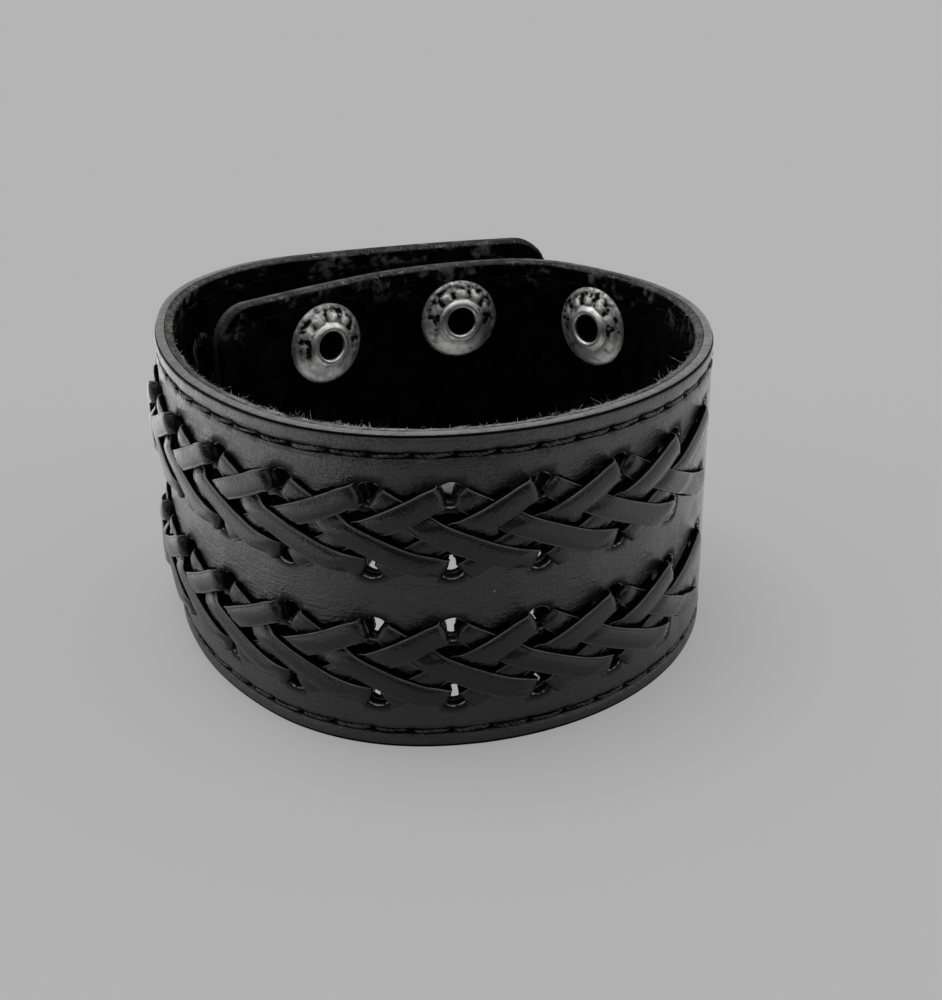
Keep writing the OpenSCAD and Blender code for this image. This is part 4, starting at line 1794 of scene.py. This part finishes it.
    def sections(self) -> tuple[Array, Array, Array]:
        """Places of the lace's sections, smooth through its knots and denser round the folds.

        Returns:
            Length along the lace, run number, and six rows of values: station, height, depth,
            tilt, width and share of the step.
        """
        knots = self.course()
        length = np.linalg.norm(np.diff(knots[:, :3], axis=0), axis=1) + 1e-3
        run = np.concatenate([[0], np.cumsum(length)])
        wanted = np.where(knots[:-1, 7] + knots[1:, 7] > 0, self.fine, self.spacing)
        cells = np.maximum(1, np.ceil(length / wanted)).astype(int)
        t = stops(0.0, *zip(run[1:], cells))
        before = np.clip(np.searchsorted(run, t, side="right") - 1, 0, len(run) - 1)
        return t, knots[before, 6].astype(int), through(run, knots[:, :6], t).T

    def build(self, material: Material) -> Piece:
        """Carry the lace's section along its course.

        In the strap's own coordinates (station, height, depth), a point is the middle line plus
        the width direction times its place across, plus the thickness direction times its level
        in the section, plus the difference in drape between that place and the middle line.

        Args:
            material: the lace's finish.

        Returns:
            The piece.
        """
        t, k, (s, z, d, tilt, width, share) = self.sections()
        z = z + Ripple(self.seed, 7.0, 0.05)(t) * (share > 0.5)
        level = self.drape(k, s, z)
        line = np.stack([s, z, d + share * level], 1)
        side, up = self._directions(line, tilt)
        across, high, edge, wall = self._section()
        half = width / 2 * (1 + Ripple(self.seed + 1, 5.0, 0.02)(t))
        thin = 1 - 0.4 * smoothstep(-d, -self.leather_t - 0.2, -self.leather_t + 0.4)
        thin = np.where(d < -self.lining_t - 0.2, 1.0, thin)
        place = line[:, None] + side[:, None] * (across[None] * half[:, None])[..., None]
        place = place + up[:, None] * (high * self.thick * thin[:, None])[..., None]
        more = self.drape(k[:, None], place[..., 0], place[..., 1]) - level[:, None]
        depth = place[..., 2] + share[:, None] * more
        sv, zv = self.hold_in_holes(place[..., 0], place[..., 1], depth)
        shell = Shell("rim", "cut", "off", "dark")
        uv = np.stack(np.broadcast_arrays(t[:, None], across[None] * self.width / 2), -1)
        # painted highlight: a thin light line along each edge of the lace's face
        painted_edge_highlight = edge[None] * smoothstep(depth, self.leather_t, self.low + 0.2)
        # painted shade where the lace sinks into its holes and on its underside; its cut walls are painted
        # dark too, partly dyed
        sunk = 1 - smoothstep(depth, self.leather_t - 0.5, self.leather_t + 0.25)
        sunk = np.maximum(sunk * (depth > -self.lining_t), wall[None])
        points = self.plan.spot(sv, depth, zv + self.z0)
        ids = shell.add_points(points, uv, rim=painted_edge_highlight, cut=0.0, off=FAR, dark=sunk)
        shell.add_quads(closed(ids))
        ends = self.plan.spot(s[[0, -1]], line[[0, -1], 2], z[[0, -1]] + self.z0)
        for i in (0, -1):
            hub = shell.add_points(ends[[i]], cut=1.0, off=FAR)
            shell.add_fan(ids[i], hub[0])
        return shell.build(f"woven_{self.name}", material)

    @staticmethod
    def _directions(line: Array, tilt: Array) -> tuple[Array, Array]:
        """Directions across the lace and out of its face, both square to its course.

        Args:
            line: the middle line, as rows of (station, height, depth).
            tilt: turn of the width away from upright, in radians.

        Returns:
            Unit vectors across the lace, and out of its face.
        """
        travel = unit(np.gradient(line, axis=0))
        upright = np.stack([-np.sin(tilt), np.cos(tilt), 0 * tilt], 1)
        side = unit(upright - (upright * travel).sum(1, keepdims=True) * travel)
        return side, np.cross(travel, side)

    @staticmethod
    def _section() -> tuple[Array, Array, Array, Array]:
        """Section of a lace, a low crown with a fine crease inside each edge and straight cut walls.

        Across from -1 to 1, the crown is 0.3 + 0.3 (1 - x^2) thicknesses high.

        Returns:
            Place across, level in thicknesses, the painted highlight line by each edge, and the cut walls.
        """
        half = np.array([0.35, 0.68, 0.78, 0.85, 0.9, 0.95, 0.985, 1.0])
        x = np.concatenate([-half[::-1], [0.0], half])
        ridge = 0.06 * bell(np.abs(x) - 0.92, 0.05) - 0.06 * bell(np.abs(x) - 0.79, 0.05)
        top = (0.3 + 0.3 * (1 - x**2) + ridge) * np.sqrt(np.clip(1 - np.abs(x) ** 40, 0.25, 1))
        low_x = np.array([1.0, 0.99, 0.95, 0.4, -0.4, -0.95, -0.99, -1.0])
        low = np.array([-0.05, -0.3, -0.48, -0.5, -0.5, -0.48, -0.3, -0.05])
        across = np.concatenate([x, low_x])
        line = np.concatenate([bell(np.abs(x) - 0.94, 0.028), 0 * low_x])
        wall = np.concatenate([smoothstep(np.abs(x), 0.955, 1.0), 0 * low_x + 1])
        return across, np.concatenate([top, low]), line, wall


@dataclass
class Braid:
    """The four laces of the two woven rows; each row has its name, height and first seed."""

    plan: StrapPlan
    holes: HolePattern
    rows: tuple[tuple[str, float, int], ...] = (("lower", 6.3, 20), ("upper", 22.4, 30))

    def laces(self) -> list[Lace]:
        """The rising and the falling lace of the lower and of the upper row.

        Returns:
            The four laces, the lower row first.
        """
        return [
            Lace(self.plan, self.holes.columns, way, z0, f"lace_{row}_{way.name.lower()}", seed)
            for row, z0, first in self.rows
            for way, seed in zip(Way, (first, first + 5))
        ]

    def build(self) -> None:
        """Make each lace and let it stand for its CAD node."""
        # the laces' rubbed colour is a painted highlight line along each edge
        finish = FinishedLeather(
            "black_lace_leather", dark="#050505", light="#0d0d0d", wear_and_highlight="#646463",
            roughness=(0.2, 0.32), shine=0.32, grain_mm=0.3, crease=0.4, grain=0.7,
        ).make()
        for lace in self.laces():
            fasten(lace.build(finish), Slot.LACE, lace.name)


# Snaps


def soften(profile: list[tuple[float, float]], reach: float, loop: bool) -> Array:
    """Round the corners of a profile with short curves.

    Each corner becomes four points of the quadratic curve between a point before it and a
    point after it, each the reach away or at most 0.45 of that side.

    Args:
        profile: corners as (radius, height).
        reach: how far from a corner its curve starts.
        loop: whether the profile closes on itself.

    Returns:
        The rounded profile.
    """
    p = np.array(profile, float)
    prev, nxt = np.roll(p, 1, axis=0), np.roll(p, -1, axis=0)
    before, after = prev - p, nxt - p
    for side in (before, after):
        size = np.maximum(np.linalg.norm(side, axis=1, keepdims=True), TINY)
        side *= np.minimum(reach, 0.45 * size) / size
    t = np.linspace(0, 1, 4)[None, :, None]
    start, middle, end = (q[:, None] for q in (p + before, p, p + after))
    curve = (1 - t) ** 2 * start + 2 * t * (1 - t) * middle + t * t * end
    if loop:
        return curve.reshape(-1, 2)
    return np.vstack([p[:1], curve[1:-1].reshape(-1, 2), p[-1:]])


@dataclass
class RingSnap:
    """Turned and pressed snap parts, set square to the strap at a station and height."""

    plan: StrapPlan
    station: float
    height: float
    seed: int
    sides: int = 96
    petals: int = 11
    crimp_shade_and_tarnish: float = 0.88  # darkness of a full crimp mark, painted shade with tarnished spots, less than the bore's

    def turned(
        self,
        name: str,
        profile: Array,
        material: Material,
        loop: bool,
        crimp: float = 0.0,
        bore: tuple[float, float, float] = (0.0, 0.0, 0.0),
    ) -> Piece:
        """Turn a profile round the snap's axis and press crimps into it.

        The point at radius r and angle v is centre + r (cos v along + sin v up) + h outward.

        Args:
            name: the piece's name.
            profile: rows of (radius, depth from the seam).
            material: its finish.
            loop: whether the profile closes on itself.
            crimp: depth of the crimps on the ring's face.
            bore: radius, and first and last depth, within which the metal is painted black as shade.

        Returns:
            The piece.
        """
        centre = self.plan.spot(np.array(self.station), np.array(0.0), np.array(self.height))
        along = self.plan.along(np.array(self.station))
        out = self.plan.outward(np.array(self.station))
        v = np.arange(self.sides) / self.sides * 2 * math.pi
        r = np.broadcast_to(profile[:, :1], (len(profile), self.sides))
        h = np.broadcast_to(profile[:, 1:], r.shape)
        dent, mark = self._crimps(r, v[None]) if crimp else (0 * r, 0 * r)
        # painted shade: the bore is black and the crimp marks darken the ring
        inner = (r < bore[0]) & (h > bore[1]) & (h < bore[2])
        deep = np.where(inner, 1.0, self.crimp_shade_and_tarnish * mark)
        h = h + crimp * dent
        round_axis = np.cos(v)[:, None] * along + np.sin(v)[:, None] * np.array([0, 0, 1.0])
        points = centre + r[..., None] * round_axis + h[..., None] * out
        shell = Shell("deep")
        if loop:
            ids = shell.add_points(points, deep=deep)
            shell.add_quads(closed(closed(ids), axis=0))
        else:
            ids = shell.add_points(points[1:-1], deep=deep[1:-1])
            shell.add_quads(closed(ids))
            poles = shell.add_points(points[[0, -1], 0], deep=deep[[0, -1], 0])
            shell.add_fan(ids[0], poles[0])
            shell.add_fan(ids[-1], poles[1])
        return shell.build(name, material)

    def _crimps(self, r: Array, v: Array) -> tuple[Array, Array]:
        """Crimp marks of a pressed ring, painted shade that is strong round its upper half and faint below.

        Between the petals the face sinks by a raised cosine of the angle, squared, in a zone of
        the radius. A spotted dark band, partly tarnished and partly painted shade, lies outside the
        petals, and a darker patch at each side.

        Args:
            r: radii.
            v: angles from the strap's direction.

        Returns:
            Depth of the dents and darkness of the marks.
        """
        x, y = np.cos(v), np.sin(v)
        turn = 0.5 * Ripple(self.seed, 3.0, 1.0)(x * 2, y * 2)
        own = np.clip(0.8 + 0.5 * Ripple(self.seed + 3, 1.6, 1.0)(x * 2, y * 2), 0, 1.3)
        spots = np.clip(0.55 + 0.8 * Ripple(self.seed + 6, 1.3, 1.0)(r * x, r * y), 0, 1)
        valley = (0.5 - 0.5 * np.cos(self.petals * v + turn + self.seed)) ** 2
        upper = smoothstep(y, -0.4, 0.15)
        zone = smoothstep(r, 3.2, 3.5) * (1 - smoothstep(r, 4.2, 4.9))
        band = bell(r - 4.85, 0.36)
        side = bell(y, 0.35) * bell(r - 3.6, 0.45)
        dent = upper * (zone * (valley * own - 0.35) + 0.6 * band * spots)
        # painted shade between the petals, over the upper half and at the sides, and a spotted band partly
        # tarnished
        mark = 1.3 * zone * valley * own + 1.3 * band * spots + 0.45 * smoothstep(r, 4.9, 5.4)
        mark = upper * mark + 1.5 * side * own
        return dent, np.clip(mark, 0, 1)


@dataclass
class SnapFastening:
    """All ring snaps: eyelets and studs on the inner end, sockets and caps on the outer end."""

    plan: StrapPlan
    holes: HolePattern
    leather_t: float = 1.2
    lining_t: float = 1.0
    lap: float = 5.6  # from seam to seam where the ends lie over each other
    cap_d: float = 12.4
    crimp: float = 0.34

    def eyelet_profile(self) -> Array:
        """Section of the eyelet: rolled lip, dished ring, turned rim and barrel.

        Returns:
            Rows of (radius, depth from the seam).
        """
        f, top = -self.lining_t - 0.46, self.leather_t + 1.95
        start, reach = 3.35, 2.1
        radii = start + 0.24 * np.arange(9)
        dome = [(r, f - 0.95 + 0.75 * ((r - start) / reach) ** 1.6) for r in radii]
        return soften(
            [(2.02, f - 1.0), (2.05, f - 1.26), (2.3, f - 1.4), (2.65, f - 1.38), (2.95, f - 1.22),
             (3.18, f - 0.98), *dome, (5.62, f + 0.06), (5.7, f + 0.26), (5.6, f + 0.4), (5.3, f + 0.3),
             (4.4, f - 0.2), (3.4, f - 0.5), (2.6, f - 0.5), (2.6, top), (2.05, top)], 0.14, True)

    def socket_profile(self) -> Array:
        """Section of the socket that closes round the knob.

        Returns:
            Rows of (radius, depth from the seam).
        """
        b = self.lap - self.lining_t - 0.22
        return soften(
            [(1.8, b), (5.7, b), (5.9, b - 0.3), (5.8, b - 1.5), (5.4, b - 2), (4.6, b - 2.25),
             (3.5, b - 2.25), (3.2, b - 2), (3.2, b - 1.7), (3.45, b - 1.4), (3.45, b - 0.45),
             (1.8, b - 0.45)], 0.2, True)

    def cap_profile(self) -> Array:
        """Section of the cap: post, flange and low dome.

        Returns:
            Rows of (radius, depth from the seam).
        """
        t, r, low = self.lap + self.leather_t + 0.2, self.cap_d / 2, self.lap - self.lining_t - 0.35
        return soften(
            [(0, low), (1.6, low), (1.6, t), (r - 0.3, t), (r, t + 0.25), (r - 0.15, t + 0.6),
             (r - 1, t + 1.05), (r - 2.6, t + 1.4), (2, t + 1.6), (0, t + 1.65)], 0.3, False)

    def build(self) -> None:
        """Make every snap part and let it stand for its CAD node."""
        metal = WornNickel("worn_nickel_plate").make()
        seed = 40
        # the eyelet's bore is painted black as shade
        bore = (2.3, -self.lining_t - 1.4, FAR)
        stations = self.holes.snap_columns[::-1]
        for level, z in zip(("lower", "upper"), self.holes.snap_heights):
            for k, s in enumerate(stations, 1):
                snap = RingSnap(self.plan, s, z, seed)
                eyelet = snap.turned(
                    f"ring_eyelet_{level}_{k}", self.eyelet_profile(), metal, True, self.crimp, bore
                )
                fasten(eyelet, Slot.METAL, f"eyelet_{level}_{k}")
                stud = self._stud(snap, level, k, metal)
                fasten(stud, Slot.METAL, f"stud_{level}_{k}")
                seed += 1
            snap = RingSnap(self.plan, stations[1], z, seed)
            socket = snap.turned(f"ring_socket_{level}", self.socket_profile(), metal, True)
            fasten(socket, Slot.METAL, f"socket_{level}")
            cap = snap.turned(f"domed_cap_{level}", self.cap_profile(), metal, False)
            fasten(cap, Slot.METAL, f"cap_{level}")
            seed += 1

    def _stud(self, snap: RingSnap, level: str, k: int, metal: Material) -> Piece:
        """The stud, whose closed knob is turned from its inside round to its top.

        Args:
            snap: its place.
            level: name of its row.
            k: its number in the row.
            metal: its finish.

        Returns:
            The piece.
        """
        f = self.leather_t + 0.12
        profile = soften(
            [(0, f + 2.05), (2.75, f + 2.05), (2.75, f), (5.2, f), (5.4, f + 0.2), (5.2, f + 0.45),
             (3.3, f + 0.55), (3.05, f + 0.75), (3.05, f + 1.35), (3.3, f + 1.65), (3.3, f + 2),
             (3.05, f + 2.3), (2.6, f + 2.45), (0, f + 2.45)], 0.16, False)
        # the inside of the knob is painted black as shade
        return snap.turned(f"ring_stud_{level}_{k}", profile, metal, False, bore=(2.9, -FAR, f + 2.3))


# Studio


@dataclass
class Studio:
    """Floor, soft room light and the camera at the photograph's angle."""

    lens: float = 51.39
    eye: tuple[float, float, float] = (-0.355, -171.881, 93.015)  # in millimetres
    pan_deg: float = 1.943
    pitch_deg: float = 24.7302
    roll_deg: float = -0.7091
    sensor: float = 36.0
    view_range: tuple[float, float] = (0.01, 20.0)  # nearest and farthest seen, in metres
    floor_reach: float = 4.0  # from the middle to each edge of the floor, in metres
    card_limits: tuple[float, float, float, float] = (-1.2, -0.2, 1.2, 1.2)  # in metres
    sun: float = 1.3
    sun_size_deg: float = 34.0
    sun_way: tuple[float, float, float] = (0.2, -0.15, -0.95)

    def camera(self) -> None:
        """Camera from its place, pan, downward pitch and roll."""
        pan, pitch, roll = (math.radians(v) for v in (self.pan_deg, self.pitch_deg, self.roll_deg))
        level = math.cos(pitch)
        ahead = Vector((math.sin(pan) * level, math.cos(pan) * level, -math.sin(pitch)))
        right = Vector((math.cos(pan), -math.sin(pan), 0))
        up = right.cross(ahead)
        right2 = math.cos(roll) * right + math.sin(roll) * up
        up2 = -math.sin(roll) * right + math.cos(roll) * up
        data = bpy.data.cameras.new("camera")
        data.sensor_fit = "AUTO"
        data.sensor_width = self.sensor
        data.lens = self.lens
        data.clip_start, data.clip_end = self.view_range
        camera = bpy.data.objects.new("camera", data)
        turn = Matrix((right2, up2, -ahead)).transposed().to_4x4()
        camera.matrix_world = Matrix.Translation(Vector(self.eye) * MM) @ turn
        bpy.context.scene.collection.objects.link(camera)
        bpy.context.scene.camera = camera

    @staticmethod
    def sheet(
        name: str, limits: tuple[float, float, float, float], height: float, finish: PlainPaper
    ) -> Piece:
        """A level sheet of paper, marked as stage.

        Args:
            name: its name.
            limits: its left, front, right and back limits, in metres.
            height: its level, in metres.
            finish: its paper.

        Returns:
            The sheet.
        """
        mesh = bpy.data.meshes.new(name)
        left, front, right, back = limits
        corners = ((left, front), (right, front), (right, back), (left, back))
        mesh.from_pydata([(x, y, height) for x, y in corners], [], [(0, 1, 2, 3)])
        mesh.materials.append(finish.make())
        sheet = bpy.data.objects.new(name, mesh)
        bpy.context.scene.collection.objects.link(sheet)
        return sheet

    def floor(self) -> None:
        """The grey paper that the camera sees, and a brighter bounce card that only lights the cuff."""
        reach = self.floor_reach
        dyed = PlainPaper("matt_grey_paper", "#686868", 0.275)
        paper = self.sheet("floor", (-reach, -reach, reach, reach), -0.05 * MM, dyed)
        paper.visible_diffuse = paper.visible_glossy = paper.visible_shadow = False
        white = PlainPaper("white_bounce_card", "#bababa", 0.0, 1.4, 0.4)
        card = self.sheet("bounce_card", self.card_limits, -0.25 * MM, white)
        card.visible_camera = False

    @staticmethod
    def room() -> None:
        """Soft surround light: even from the sides, back and top, and dim low in front.

        The dim part is where the photographer stands. Its weight is a ramp of the direction's
        backward part times a falling ramp of its height.
        """
        world = bpy.data.worlds.new("studio_room")
        world.use_nodes = True
        tree = world.node_tree
        view = add_node(tree, "TexCoord").outputs["Generated"]
        parts = add_node(tree, "SeparateXYZ", {0: view})
        front = {"Value": parts.outputs["Y"], 1: -0.45, 2: -0.85, 3: 0.0, 4: 1.0}
        front = add_node(tree, "MapRange", front, **SMOOTH)
        low = {"Value": parts.outputs["Z"], 1: 0.45, 2: 0.75, 3: 1.0, 4: 0.0}
        low = add_node(tree, "MapRange", low, **SMOOTH)
        dim = add_node(tree, "Math", {0: front, 1: low}, **MULTIPLY)
        level = add_node(tree, "MapRange", {"Value": dim, 1: 0.0, 2: 1.0, 3: 1.0, 4: 0.1})
        background = tree.nodes["Background"]
        tree.links.new(level.outputs["Result"], background.inputs["Strength"])
        background.inputs["Color"].default_value = colour(WHITE)
        bpy.context.scene.world = world

    def key(self) -> None:
        """One broad soft light from above, a little to the left and behind."""
        data = bpy.data.lights.new("key_light", "SUN")
        data.energy = self.sun
        data.angle = math.radians(self.sun_size_deg)
        light = bpy.data.objects.new("key_light", data)
        light.rotation_mode = "QUATERNION"
        light.rotation_quaternion = Vector(self.sun_way).to_track_quat("-Z", "Y")
        bpy.context.scene.collection.objects.link(light)

    def build(self) -> None:
        """Set up the camera, floor and lights."""
        self.camera()
        self.floor()
        self.room()
        self.key()
        bpy.context.scene.view_settings.view_transform = "Standard"


def main() -> None:
    """Load the frame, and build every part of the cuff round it."""
    logging.basicConfig(level=logging.INFO, format="%(message)s")
    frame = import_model()
    LOG.info("dressing %d CAD nodes", len(frame["nodes"]))
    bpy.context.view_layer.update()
    Studio().build()
    plan = StrapPlan()
    holes = HolePattern()
    line = StitchLine(plan)
    braid = Braid(plan, holes)
    Strap(plan, holes, line, braid.laces()).build()
    EdgeStitching(plan, line).build()
    EdgeFray(plan).build()
    braid.build()
    SnapFastening(plan, holes).build()
    bpy.context.view_layer.update()


if __name__ == "__main__":
    main()
